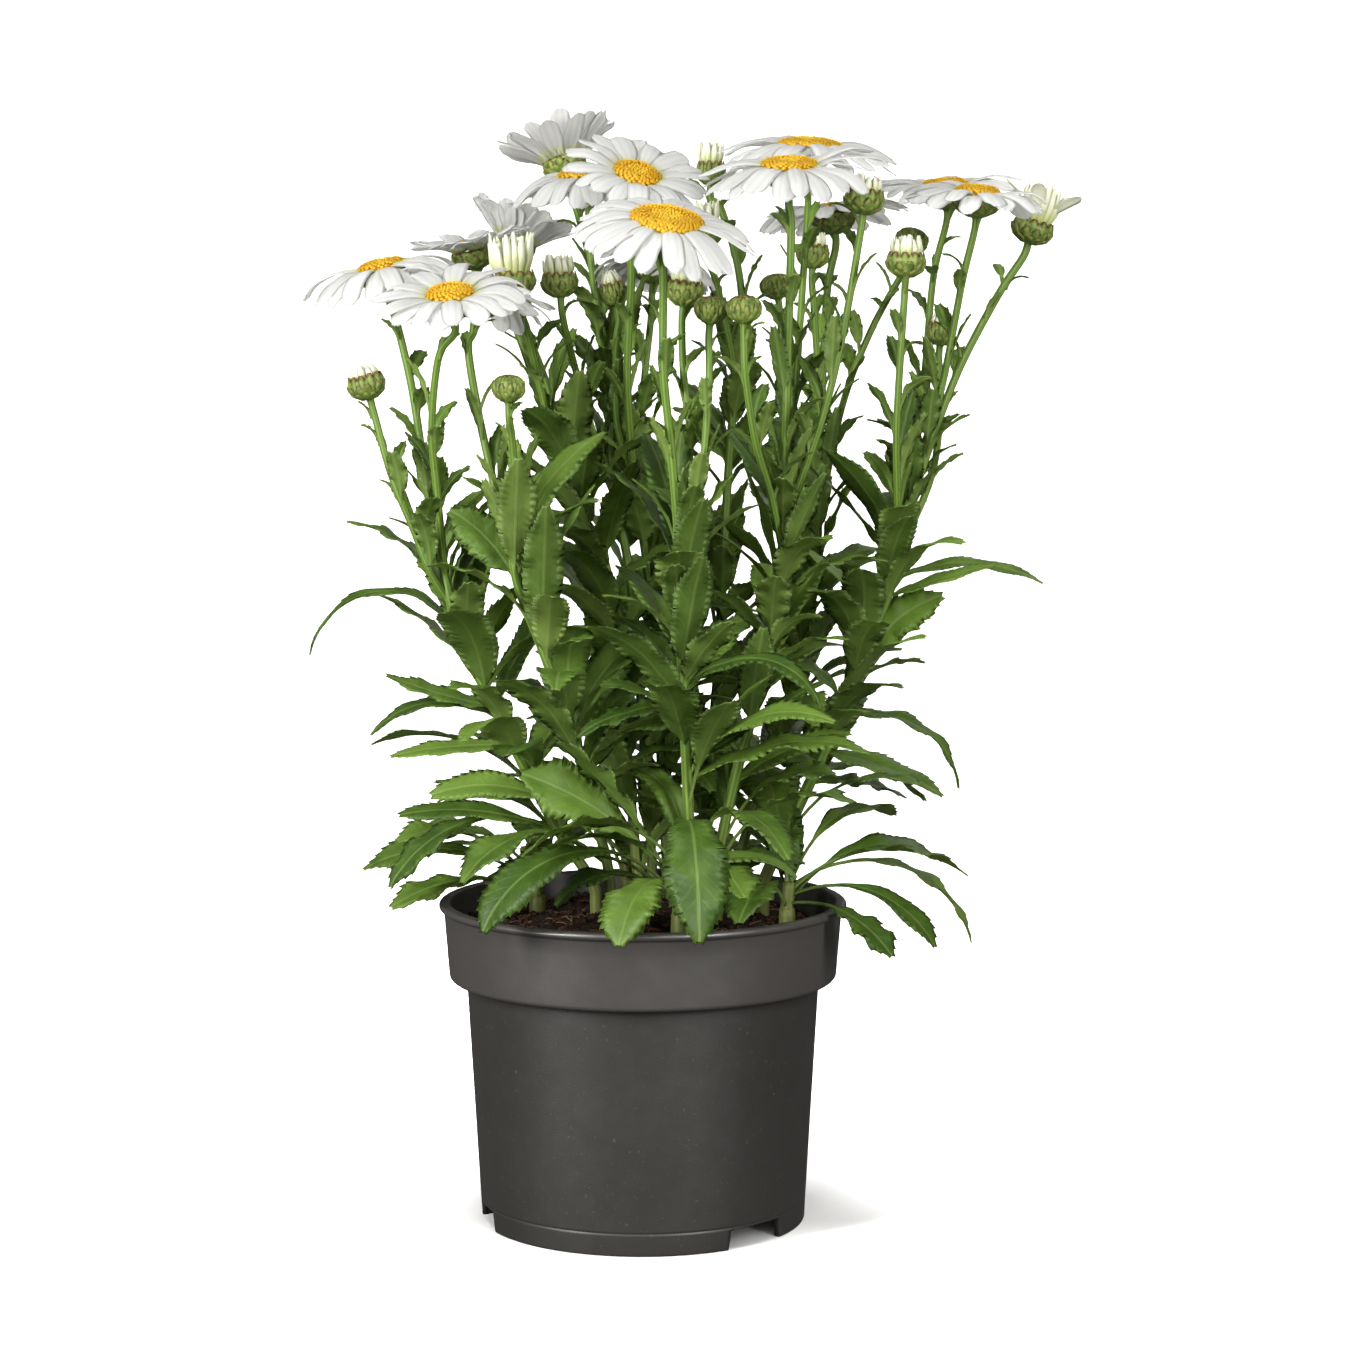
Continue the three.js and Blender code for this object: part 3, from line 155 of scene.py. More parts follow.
# A stem's route starts at its foot in the soil. A head's route leaves the stem and ends at its cup.
# at: the middle of the petal ring. lean: tilt to +X. face: tilt to -Y. reach: petal tip radius.
# lift and curl: how high the petals start and end, in degrees above the ring's plane.
# A leaf is [height on the stem, azimuth, start angle, end angle, length, width, roll].
STEMS = [
  dict(
    radius=2.8,
    route=[
      [-22, -8], [-24, -9, 160], [-40, -14, 186], [-56, -22, 218], [-69, -30, 247],
      [-82, -38, 273], [-88, -42, 300],
    ],
    leaves=dict(low=172, high=292, step=20, azimuth=150, size=0.9),
    chosen=[
      [278, 182, 62, -78, 88, 14, -15],
      [237, 180, 36, -50, 64, 12, -20],
      [243, 172, 12, 22, 50, 13, -30],
      [224, 186, 8, -14, 56, 14, -25],
      [188, 195, 24, -62, 88, 17, -20],
    ],
    heads=[
      dict(kind="bloom", at=[-119, 2, 441], lean=-12, face=8, reach=40, lift=-2, curl=-50, disc=10.5,
        route=[[-88, -40, 296], [-94, -34, 325], [-99, -28, 354], [-105, -14, 388], [-112, -4, 416]]),
      dict(kind="bloom", at=[-83, -86, 427], lean=-6, face=20, reach=36, lift=12, curl=-26, disc=10,
        route=[[-88, -42, 298], [-92, -52, 347], [-93, -62, 372], [-89, -74, 402]]),
      dict(kind="tuft", at=[-123, -52, 392], lean=-14, face=4, size=8.4, tall=6, splay=-6, count=9,
        route=[[-88, -42, 292], [-95, -46, 306], [-103, -49, 327], [-112, -51, 350]]),
    ],
  ),
  dict(
    radius=2.6,
    route=[
      [-15, -33], [-16, -34, 170], [-24, -38, 202], [-31, -44, 230], [-44, -52, 269],
      [-55, -58, 299], [-58, -60, 314],
    ],
    leaves=dict(low=178, high=306, step=21, azimuth=215, size=0.9),
    chosen=[
      [304, 168, 62, 28, 42, 21, -50],
      [184, 178, 50, -22, 82, 17, -30],
      [176, 184, 36, -10, 96, 18, -20],
    ],
    heads=[
      dict(kind="bloom", at=[-74, -34, 428], lean=8, face=4, reach=37, lift=10, curl=-28, disc=9.5,
        route=[[-58, -60, 312], [-65, -55, 341], [-73, -46, 376], [-78, -38, 405]]),
      dict(kind="closed", at=[-58, -86, 391], lean=0, face=4, size=6.8,
        route=[[-58, -60, 310], [-56, -66, 340], [-57, -77, 366]]),
    ],
  ),
  dict(
    radius=2.7,
    route=[[-2, 6], [-3, 6, 165], [-10, 7, 243], [-16, 8, 300], [-27, 9, 328], [-40, 11, 360]],
    leaves=dict(low=176, high=350, step=22, azimuth=40, size=0.8),
    chosen=[],
    heads=[
      dict(kind="bloom", at=[-80, 48, 452], lean=-10, face=4, reach=30, lift=20, curl=2, disc=9,
        route=[[-38, 11, 356], [-49, 20, 387], [-62, 33, 421]]),
      dict(kind="bloom", at=[-62, 104, 458], lean=18, face=-10, reach=31, lift=42, curl=30, disc=9,
        route=[[-40, 11, 358], [-44, 34, 386], [-56, 66, 416], [-64, 94, 436]]),
      dict(kind="tuft", at=[-59, -16, 438], lean=-4, face=2, size=10.8, tall=18, splay=8, count=12,
        route=[[-40, 11, 358], [-45, 5, 380], [-53, -11, 416]]),
    ],
  ),
  dict(
    radius=2.7,
    route=[[4, 24], [4, 24, 165], [-1, 28, 241], [-6, 30, 299], [-14, 34, 343], [-16, 36, 388]],
    leaves=dict(low=180, high=376, step=26, azimuth=100, size=0.75),
    chosen=[
      [350, 205, 70, 40, 34, 13, -20],
      [372, -60, 72, 50, 30, 10, 0],
    ],
    heads=[
      dict(kind="bloom", at=[-38, 88, 496], lean=-14, face=-14, reach=34, lift=34, curl=26, disc=9.5,
        route=[[-16, 36, 384], [-17, 50, 410], [-26, 70, 452]]),
      dict(kind="bloom", at=[-26, 34, 484], lean=-3, face=9, reach=41, lift=-6, curl=-44, disc=13,
        route=[[-16, 36, 386], [-20, 38, 412], [-25, 38, 456]]),
      dict(kind="tuft", at=[-38, 0, 438], lean=-4, face=0, size=8.5, tall=10, splay=2, count=9,
        route=[[-14, 34, 346], [-23, 27, 366], [-34, 8, 408]]),
    ],
  ),
  dict(
    radius=2.6,
    route=[[11, 44], [11, 44, 162], [7, 42, 240], [4, 35, 288], [-3, 25, 340]],
    leaves=dict(low=176, high=330, step=22, azimuth=70, size=0.8),
    chosen=[],
    heads=[
      dict(kind="bloom", at=[-3, -20, 482], lean=14, face=28, reach=35, lift=18, curl=-18, disc=10.8,
        route=[[-3, 25, 336], [-7, 9, 391], [-5, -5, 440]]),
      dict(kind="bloom", at=[6, 34, 445], lean=6, face=-8, reach=33, lift=-10, curl=-52, disc=10,
        route=[[-3, 25, 336], [0, 28, 382], [4, 32, 420]]),
      dict(kind="tuft", at=[-14, 10, 434], lean=-12, face=0, size=6, tall=7, splay=-12, count=7,
        route=[[-3, 25, 336], [-12, 22, 372], [-12, 12, 408]]),
    ],
  ),
  dict(
    radius=2.8,
    route=[[22, -40], [22, -40, 165], [19, -50, 231], [17, -58, 276], [16, -66, 317]],
    leaves=dict(low=182, high=306, step=21, azimuth=300, size=0.85),
    chosen=[
      [312, -40, 82, 66, 44, 19, 25],
      [248, -8, 66, -72, 78, 12, 20],
      [214, 4, 46, 24, 76, 9, 20],
      [240, 190, 22, -40, 50, 15, -20],
    ],
    heads=[
      dict(kind="bloom", at=[10, -102, 458], lean=7, face=22, reach=43, lift=-2, curl=-38, disc=15.5,
        route=[[16, -66, 314], [13, -76, 357], [9, -86, 397], [9, -96, 436]]),
      dict(kind="tuft", at=[19, -60, 433], lean=6, face=0, size=8, tall=10, splay=2, count=7,
        route=[[16, -66, 324], [21, -60, 361], [18, -58, 396]]),
      dict(kind="closed", at=[30, -76, 425], lean=4, face=4, size=6.8,
        route=[[16, -66, 303], [26, -74, 352], [29, -77, 392]]),
    ],
  ),
  dict(
    radius=2.8,
    route=[
      [34, -16], [34, -16, 168], [42, -22, 209], [52, -28, 247], [60, -32, 285], [63, -34, 318],
      [64, -34, 345],
    ],
    leaves=dict(low=180, high=338, step=22, azimuth=330, size=0.85),
    chosen=[
      [300, 215, 80, 62, 56, 18, -20],
      [206, 2, 42, 6, 58, 15, 30],
      [330, -120, 70, 45, 40, 11, 0],
      [336, -30, 66, 50, 38, 12, 0],
    ],
    heads=[
      dict(kind="bloom", at=[65, -50, 484], lean=0, face=13, reach=42, lift=0, curl=-38, disc=12.5,
        route=[[64, -34, 342], [65, -40, 402], [66, -47, 456]]),
      dict(kind="bloom", at=[78, 34, 498], lean=2, face=9, reach=43, lift=0, curl=-28, disc=14.5,
        route=[[64, -34, 350], [69, -20, 383], [74, 8, 437], [77, 26, 470]]),
      dict(kind="closed", at=[44, -90, 425], lean=0, face=6, size=7.2,
        route=[[63, -34, 316], [58, -46, 338], [50, -68, 364], [45, -84, 392]]),
      dict(kind="tuft", at=[99, -42, 474], lean=6, face=0, size=9, tall=8, splay=0, count=10,
        route=[[64, -34, 324], [76, -38, 360], [84, -41, 387], [91, -42, 420]]),
    ],
  ),
  dict(
    radius=2.6,
    route=[[46, 30], [46, 30, 166], [58, 38, 201], [71, 46, 239], [78, 52, 277], [83, 56, 312]],
    leaves=dict(low=178, high=304, step=19, azimuth=20, size=0.95),
    chosen=[],
    heads=[
      dict(kind="bloom", at=[92, 84, 470], lean=-5, face=-6, reach=39, lift=2, curl=-36, disc=10,
        route=[[83, 56, 308], [86, 66, 381], [89, 78, 432]]),
      dict(kind="closed", at=[131, 86, 460], lean=14, face=-10, size=7.6,
        route=[[83, 56, 310], [95, 66, 375], [110, 76, 414]]),
      dict(kind="closed", at=[64, 72, 438], lean=-8, face=0, size=7.4,
        route=[[83, 56, 306], [76, 62, 360], [68, 69, 400]]),
      dict(kind="tuft", at=[80, 34, 452], lean=2, face=0, size=7.5, tall=8, splay=-4, count=7,
        route=[[83, 56, 308], [84, 50, 372], [81, 38, 420]]),
    ],
  ),
  dict(
    radius=3.2,
    route=[
      [56, 8], [57, 8, 158], [70, 6, 187], [85, 4, 220], [94, 0, 246], [103, -3, 268],
      [115, -6, 298], [118, -8, 318],
    ],
    leaves=dict(low=176, high=308, step=22, azimuth=350, size=0.95),
    chosen=[
      [264, 2, 56, 18, 46, 19, 55],
      [300, 6, 26, -30, 72, 10, 20],
      [292, -8, 20, 14, 52, 12, 25],
      [230, -6, 32, -84, 76, 14, 15],
      [216, -16, 4, -34, 60, 20, 20],
      [204, 20, 8, -30, 50, 14, 20],
    ],
    heads=[
      dict(kind="tuft", at=[182, 22, 463], lean=18, face=2,
        size=10, tall=18, splay=6, count=10, open=5,
        route=[[118, -8, 316], [129, -4, 352], [140, 2, 382], [150, 8, 404], [166, 17, 432]]),
      dict(kind="bloom", at=[152, -14, 474], lean=4, face=9, reach=35, lift=8, curl=-34, disc=9.8,
        route=[[118, -8, 318], [128, -2, 350], [138, -2, 390], [146, -8, 436]]),
      dict(kind="bloom", at=[144, 62, 481], lean=-4, face=7, reach=38, lift=6, curl=-28, disc=10.5,
        route=[[117, -7, 312], [124, 12, 345], [132, 36, 385], [138, 54, 438]]),
      dict(kind="tuft", at=[117, -50, 446], lean=2, face=2, size=8.8, tall=9, splay=0, count=10,
        route=[[117, -7, 310], [116, -22, 338], [114, -40, 370], [115, -48, 404]]),
      dict(kind="tuft", at=[141, 40, 416], lean=4, face=0, size=6.5, tall=6, splay=-8, count=8,
        route=[[118, -8, 314], [134, 10, 346], [140, 32, 376]]),
    ],
  ),
  dict(
    radius=2.6,
    route=[[28, 58], [28, 58, 165], [35, 62, 237], [38, 66, 285], [41, 68, 343], [44, 68, 381]],
    leaves=dict(low=178, high=370, step=22, azimuth=120, size=0.9),
    chosen=[],
    heads=[
      dict(kind="tuft", at=[33, 80, 493], lean=0, face=0, size=7, tall=12, splay=2, count=7,
        route=[[44, 68, 378], [48, 71, 415], [46, 73, 444], [38, 77, 472]]),
      dict(kind="tuft", at=[30, 34, 462], lean=-2, face=0, size=7, tall=12, splay=3, count=7,
        route=[[44, 68, 376], [43, 58, 400], [35, 42, 436]]),
    ],
  ),
  dict(
    radius=4.2,
    route=[[16, -52], [16, -52, 154], [17, -53, 173]],
    leaves=dict(low=153, high=168, step=3.4, azimuth=20, size=0.62),
    chosen=[
      [170, -86, 68, -84, 132, 25, 0],
      [160, 207, 56, -66, 116, 25, -12],
      [158, -112, 48, -62, 82, 24, 0],
      [164, 176, 56, 18, 88, 26, -50],
    ],
    heads=[],
  ),
  dict(
    radius=4.2,
    route=[[-50, 14], [-50, 14, 150], [-51, 14, 162]],
    leaves=dict(low=151, high=161, step=2.2, azimuth=95, size=0.85),
    chosen=[
      [156, 184, 40, -30, 84, 19, -15],
      [153, 206, 24, -30, 74, 18, -10],
    ],
    heads=[],
  ),
  dict(
    radius=4.2,
    route=[[66, -26], [66, -26, 150], [67, -26, 162]],
    leaves=dict(low=151, high=161, step=2.4, azimuth=250, size=0.8),
    chosen=[
      [160, 2, 40, -76, 104, 18, 10],
      [156, -18, 28, -62, 78, 18, 10],
      [153, -38, 12, -50, 62, 18, 0],
    ],
    heads=[],
  ),
  dict(
    radius=4.2,
    route=[[-8, 70], [-8, 70, 148], [-8, 72, 160]],
    leaves=dict(low=149, high=160, step=1.7, azimuth=60, size=0.9),
    chosen=[],
    heads=[],
  ),
]


# ---- growth: where each stem, head, petal and leaf stands ----


def seeded(seed):
    """A small seeded generator, so that every run grows the same plant."""
    state = [seed]
    mask = 0xFFFFFFFF

    def draw():
        state[0] = (state[0] + 0x6D2B79F5) & mask
        t = state[0]
        t = ((t ^ (t >> 15)) * (t | 1)) & mask
        t ^= (t + (t ^ (t >> 7)) * (t | 61)) & mask
        return (t ^ (t >> 14)) / 4294967296

    return draw


def mix(a, b, t):
    return a + (b - a) * t


def all_round(sides):
    """Angles in even steps once round."""
    return np.arange(sides) / sides * 2 * math.pi


def unit(vector):
    return vector / np.linalg.norm(vector, axis=-1, keepdims=True)


def along(points, t):
    """Points on a smooth line through the given ones, at t from 0 to 1."""
    t = np.clip(np.atleast_1d(np.asarray(t, float)), 0, 1)
    last = len(points) - 1
    place = t * last
    i = np.minimum(np.floor(place).astype(int), last - 1)
    f = (place - i)[:, None]
    a, b = points[np.maximum(i - 1, 0)], points[i]
    c, d = points[i + 1], points[np.minimum(i + 2, last)]
    bend = 2 * a - 5 * b + 4 * c - d
    swing = 3 * b - a - 3 * c + d
    return b + 0.5 * f * (c - a + f * (bend + f * swing))


def on_chord(points, count, t):
    """Points on the chords of that line, which has count of them."""
    place = np.minimum(np.atleast_1d(np.asarray(t, float)), 1) * count
    i = np.minimum(np.floor(place).astype(int), count - 1)
    a = along(points, i / count)
    return a + (along(points, (i + 1) / count) - a) * (place - i)[:, None]


def arc(length, start, end, s):
    """Place and slope on an arc of that length whose angle turns from start to end."""
    a = start * DEGREE
    turn = (end - start) * DEGREE or 1e-6
    b = a + turn * s
    return length * (np.sin(b) - math.sin(a)) / turn, length * (math.cos(a) - np.cos(b)) / turn, b


def head_frame(head):
    """A head's axis and two directions across it."""
    axis = unit(np.array([math.tan(head["lean"] * DEGREE), -math.tan(head["face"] * DEGREE), 1.0]))
    right = unit(np.cross([0.0, 1.0, 0.0], axis))
    return axis, right, np.cross(axis, right)


def on_head(head, radius, angle, height):
    """Points in a head's own frame: radius and angle round its axis, and height along it."""
    axis, right, back = head_frame(head)
    radius, angle, height = np.broadcast_arrays(*(np.asarray(v, float) for v in (radius, angle, height)))
    out = (radius * np.cos(angle))[..., None] * right + (radius * np.sin(angle))[..., None] * back
    return np.array(head["at"], float) + out + height[..., None] * axis


def outward(azimuth):
    """The level direction at that azimuth."""
    heading = azimuth * DEGREE
    return np.array([math.cos(heading), math.sin(heading), 0.0])


def petal_point(head, petal, s, side, height):
    """Points on a petal: s is the share of its length, and side and height are millimetres off its middle."""
    axis, right, back = head_frame(head)
    s, side, height = np.broadcast_arrays(*(np.asarray(v, float) for v in (s, side, height)))
    radial = right * math.cos(petal["angle"]) + back * math.sin(petal["angle"])
    around = np.cross(axis, radial)
    out, up, slope = arc(petal["length"], petal["lift"], petal["curl"], s)
    normal = axis * np.cos(slope)[..., None] - radial * np.sin(slope)[..., None]
    middle = np.array(head["at"], float) + radial * (petal["root"] + out)[..., None]
    middle = middle + axis * (petal["height"] + up)[..., None]
    return middle + around * side[..., None] + normal * height[..., None]


def leaf_point(leaf, s, side, height):
    """A leaf's middle line bends in one upright plane, and its blade rolls round that line."""
    s, side, height = np.broadcast_arrays(*(np.asarray(v, float) for v in (s, side, height)))
    out, up, slope = arc(leaf["length"], leaf["start"], leaf["end"], s)
    away = outward(leaf["azimuth"])
    level = np.array([-away[1], away[0], 0.0])
    normal = np.cos(slope)[..., None] * [0.0, 0.0, 1.0] - np.sin(slope)[..., None] * away
    turn = leaf["roll"] * DEGREE
    across = level * math.cos(turn) + normal * math.sin(turn)
    above = normal * math.cos(turn) - level * math.sin(turn)
    middle = leaf["base"] + away * out[..., None] + up[..., None] * [0.0, 0.0, 1.0]
    return middle + across * side[..., None] + above * height[..., None]


def half_width(leaf, v):
    """Half the blade's width: lower leaves are widest past the middle, upper leaves before it."""
    peak = 1.45 if leaf["stalked"] else 0.85
    swell = np.maximum(np.sin(math.pi * np.maximum(v, 0) ** peak), 0) ** 0.75
    return LEAF_FOOT + (leaf["width"] / 2 - LEAF_FOOT) * swell


class Room:
    """The room taken so far, as small balls."""

    def __init__(self, most=60000):
        self.at = np.zeros((most, 3))
        self.radius = np.zeros(most)
        self.node = np.zeros(most, int)
        self.head = np.full(most, -1)
        self.count = 0

    def take(self, at, radius, node, head=-1):
        at = np.asarray(at, float).reshape(-1, 3)
        span = slice(self.count, self.count + len(at))
        self.at[span], self.radius[span], self.node[span], self.head[span] = at, radius, node, head
        self.count += len(at)

    def near(self, place, reach):
        """The balls that a blade of that reach from a place may meet."""
        gap = np.abs(self.at[: self.count] - place).max(axis=1)
        kept = np.nonzero(gap < reach)[0]
        return self.at[kept], self.radius[kept], self.node[kept], self.head[kept]


def ground(distance, radius):
    """The lowest height that a blade may have at a distance from the pot's axis."""
    inside = np.where(distance > COLLAR_LOW_RADIUS - 4, POT_HEIGHT + 1, SOIL_CROWN + 1)
    return np.where(distance > LIP_RADIUS + 0.5 + radius, LOWEST_TIP, inside)


def is_clear(at, radius, root, others, node, head=None):
    """Whether the balls of a blade keep clear of all that stands there already."""
    low = at[:, 2] - 0.6 * radius < ground(np.hypot(at[:, 0], at[:, 1]), radius)
    if (low & ~root).any():
        return False
    their_at, their_radius, their_node, their_head = others
    own = their_node == node
    share = np.where(own, OWN_SHARE, 1.0)
    room = (radius[:, None] + their_radius + ROOM) * share
    gap = ((at[:, None, :] - their_at) ** 2).sum(axis=2)
    skipped = root[:, None] & own
    if head is not None:
        skipped = skipped | (their_head == head)
    return bool((skipped | (gap > room * room)).all())


def petal_balls(head, petal):
    """The balls that stand for a petal where room is looked for."""
    s = np.repeat(np.arange(2, 9) / 8, 2)
    side = np.tile([-0.25, 0.25], 7) * petal["width"]
    return petal_point(head, petal, s, side, 0), np.full(len(s), PETAL_BALL), np.zeros(len(s), bool)


def leaf_balls(leaf):
    """The balls that stand for a leaf, and which of them are at its root."""
    steps = math.ceil(leaf["length"] / 6)
    s, side = [], []
    for i in range(steps + 1):
        for share in (-0.66, 0, 0.66) if i / steps > leaf["petiole"] else (0,):
            s.append(i / steps)
            side.append(share)
    s, side = np.array(s), np.array(side)
    v = (s - leaf["petiole"]) / (1 - leaf["petiole"])
    half = np.where(v > 0, half_width(leaf, v), LEAF_FOOT)
    radius = np.maximum(half / 3 + 0.6, np.where(v > 0, leaf.get("least", 3), 2))
    at = leaf_point(leaf, s, side * half, np.abs(side) * half * LEAF_FOLD)
    return at, radius, s * leaf["length"] < ROOT_LENGTH


def stem_radius(stem, t):
    """A stem's radius at a share of its length."""
    top = STALK_RADIUS if stem["heads"] else stem["radius"] * 0.7
    return mix(stem["radius"], top, np.minimum(np.asarray(t) * 1.5, 1))


def share_at(stem, height):
    """The share of a stem's length at which it passes a height."""
    t = np.arange(201) / 200
    return int(np.argmin(np.abs(on_chord(stem["path"], stem["sections"], t)[:, 2] - height))) / 200


def leaf_from(stem, height, azimuth, start, end, length, width, roll):
    """A leaf that starts just inside its stem at that height."""
    place = share_at(stem, height)
    depth = FLAT_SHARE * float(stem_radius(stem, place)) - LEAF_SUNK
    centre = on_chord(stem["path"], stem["sections"], place)[0]
    base = centre + outward(azimuth) * depth
    stalk = STALK_SHARE * length if height < STALKED_BELOW and length > STALKED_LENGTH else 0
    petiole = max(stalk, 1 + 1.2 / math.cos(min(start, 75) * DEGREE)) / length
    shift = along(stem["path"], place)[0] - centre
    return dict(base=base, azimuth=azimuth, start=start, end=end, length=length, width=width, roll=roll,
                petiole=petiole, stalked=stalk > 0, shift=shift)


def grow(room, stem, wish, turns, shares, bends, make=leaf_from, least=3):
    """The first leaf like the wish that is clear of the rest, or None."""
    first = make(stem, *wish)
    others = room.near(first["base"], wish[4] + 14)
    for share in shares:
        for bend in bends:
            for turn in turns:
                leaf = make(stem, wish[0], wish[1] + turn, wish[2] + bend, wish[3] + bend, wish[4] * share,
                            wish[5] * math.sqrt(share), wish[6])
                leaf["least"] = least
                at, radius, root = leaf_balls(leaf)
                if is_clear(at, radius, root, others, stem["id"]):
                    room.take(at, radius, stem["id"])
                    return leaf
    return None


def grow_petals(room, head):
    """A bloom's petals in two layers. One that finds no room is left out."""
    random = seeded(9001 + 37 * head["id"])
    steepest = STEEPEST_UNDER_DISC if head["disc"] > ROOT_RADIUS else 80
    others = room.near(np.array(head["at"], float), 70)
    petals = []
    for i in range(PETALS):
        draws = [random(), random(), random()]
        layer = i % 2
        petal = dict(angle=(i + 0.3 * (draws[0] - 0.5)) / PETALS * 2 * math.pi, root=ROOT_RADIUS,
                     height=0.6 * layer, width=PETAL_WIDTH * (0.92 + 0.16 * draws[1]))
        reach = head["reach"] * (0.94 + 0.08 * draws[2])
        found = None
        for share, change in ((a, b) for a in PETAL_SHARES for b in PETAL_LIFTS):
            petal["length"] = reach * share - ROOT_RADIUS
            petal["lift"] = min(head["lift"] + LAYER_LIFT * layer + change, steepest)
            petal["curl"] = head["curl"] + 14 * (draws[1] - 0.5) + change * 0.8
            at, radius, root = petal_balls(head, petal)
            if is_clear(at, radius, root, others, head["node"], head["id"]):
                found = dict(petal)
                break
        petals.append(found)
    for petal in petals:
        if petal:
            room.take(petal_balls(head, petal)[0], PETAL_BALL, head["node"], head["id"])
    return petals


def rise_at(height):
    """How far up among the leaves a height is, from 0 to 1."""
    return min(max((height - 165) / 200, 0), 1)


# A wish is the row of a leaf. Each mix goes from the figure of the lowest leaves to that of the highest.
def ruled_wishes(stem, index):
    """Leaves follow each other round the stem by the golden angle, long below and short above."""
    random = seeded(301 + 71 * index)
    rule = stem["leaves"]
    crown = rule["high"] < SOIL_CROWN + 20
    wishes = []
    i = 0
    while rule["low"] + i * rule["step"] <= rule["high"]:
        draws = [random(), random(), random(), random()]
        height = rule["low"] + (i + 0.4 * (draws[0] - 0.5)) * rule["step"]
        rise = rise_at(height)
        length = rule["size"] * mix(104, 46, rise) * (0.85 + 0.3 * draws[1])
        width = mix(23, 15, rise) * (0.88 + 0.24 * draws[2])
        start = 34 + 40 * draws[3] if crown else mix(56, 72, rise)
        end = start - 84 if crown else mix(-36, 34, rise) + 40 * (draws[3] - 0.5)
        azimuth = rule["azimuth"] + GOLDEN_ANGLE * i
        wishes.append((height, azimuth, start, end, length, width, 16 * (draws[0] - 0.5)))
        i += 1
    return wishes


def extra_wishes(stem, index):
    """Leaves between those of the rule, as wishes like its own."""
    random = seeded(907 + 53 * index)
    rule = stem["leaves"]
    wishes = []
    height = rule["low"] + 4
    while height < rule["high"] + 10:
        draws = [random(), random(), random(), random(), random()]
        rise = rise_at(height)
        length = mix(78, 54, rise) * (0.62 + 0.6 * draws[0])
        width = mix(20, 16.5, rise) * (0.72 + 0.28 * draws[0] + 0.2 * draws[1])
        start = mix(54, 74, rise) + 24 * (draws[4] - 0.5)
        end = start - 16 - mix(80, 60, rise) * draws[2]
        wishes.append((height, 360 * draws[3], start, end, length, width, 36 * (draws[0] - 0.5)))
        height += mix(5.5, 8.5, rise)
    return wishes


def stalk_wishes(low, high, seed):
    """Small, steep leaves up a stalk, shorter and sparser towards its head."""
    random = seeded(seed)
    wishes = []
    height, azimuth = low, 360 * random()
    while height < high:
        draws = [random(), random(), random()]
        rise = (height - low) / (high - low)
        length = mix(37, 15, rise) * (0.8 + 0.4 * draws[0])
        width = mix(10.5, 5, rise) * (0.85 + 0.35 * draws[1])
        wishes.append((height, azimuth, 80, 72 - 66 * draws[2], length, width, 30 * (draws[0] - 0.5)))
        height += mix(9, 17, rise)
        azimuth += GOLDEN_ANGLE
    return wishes


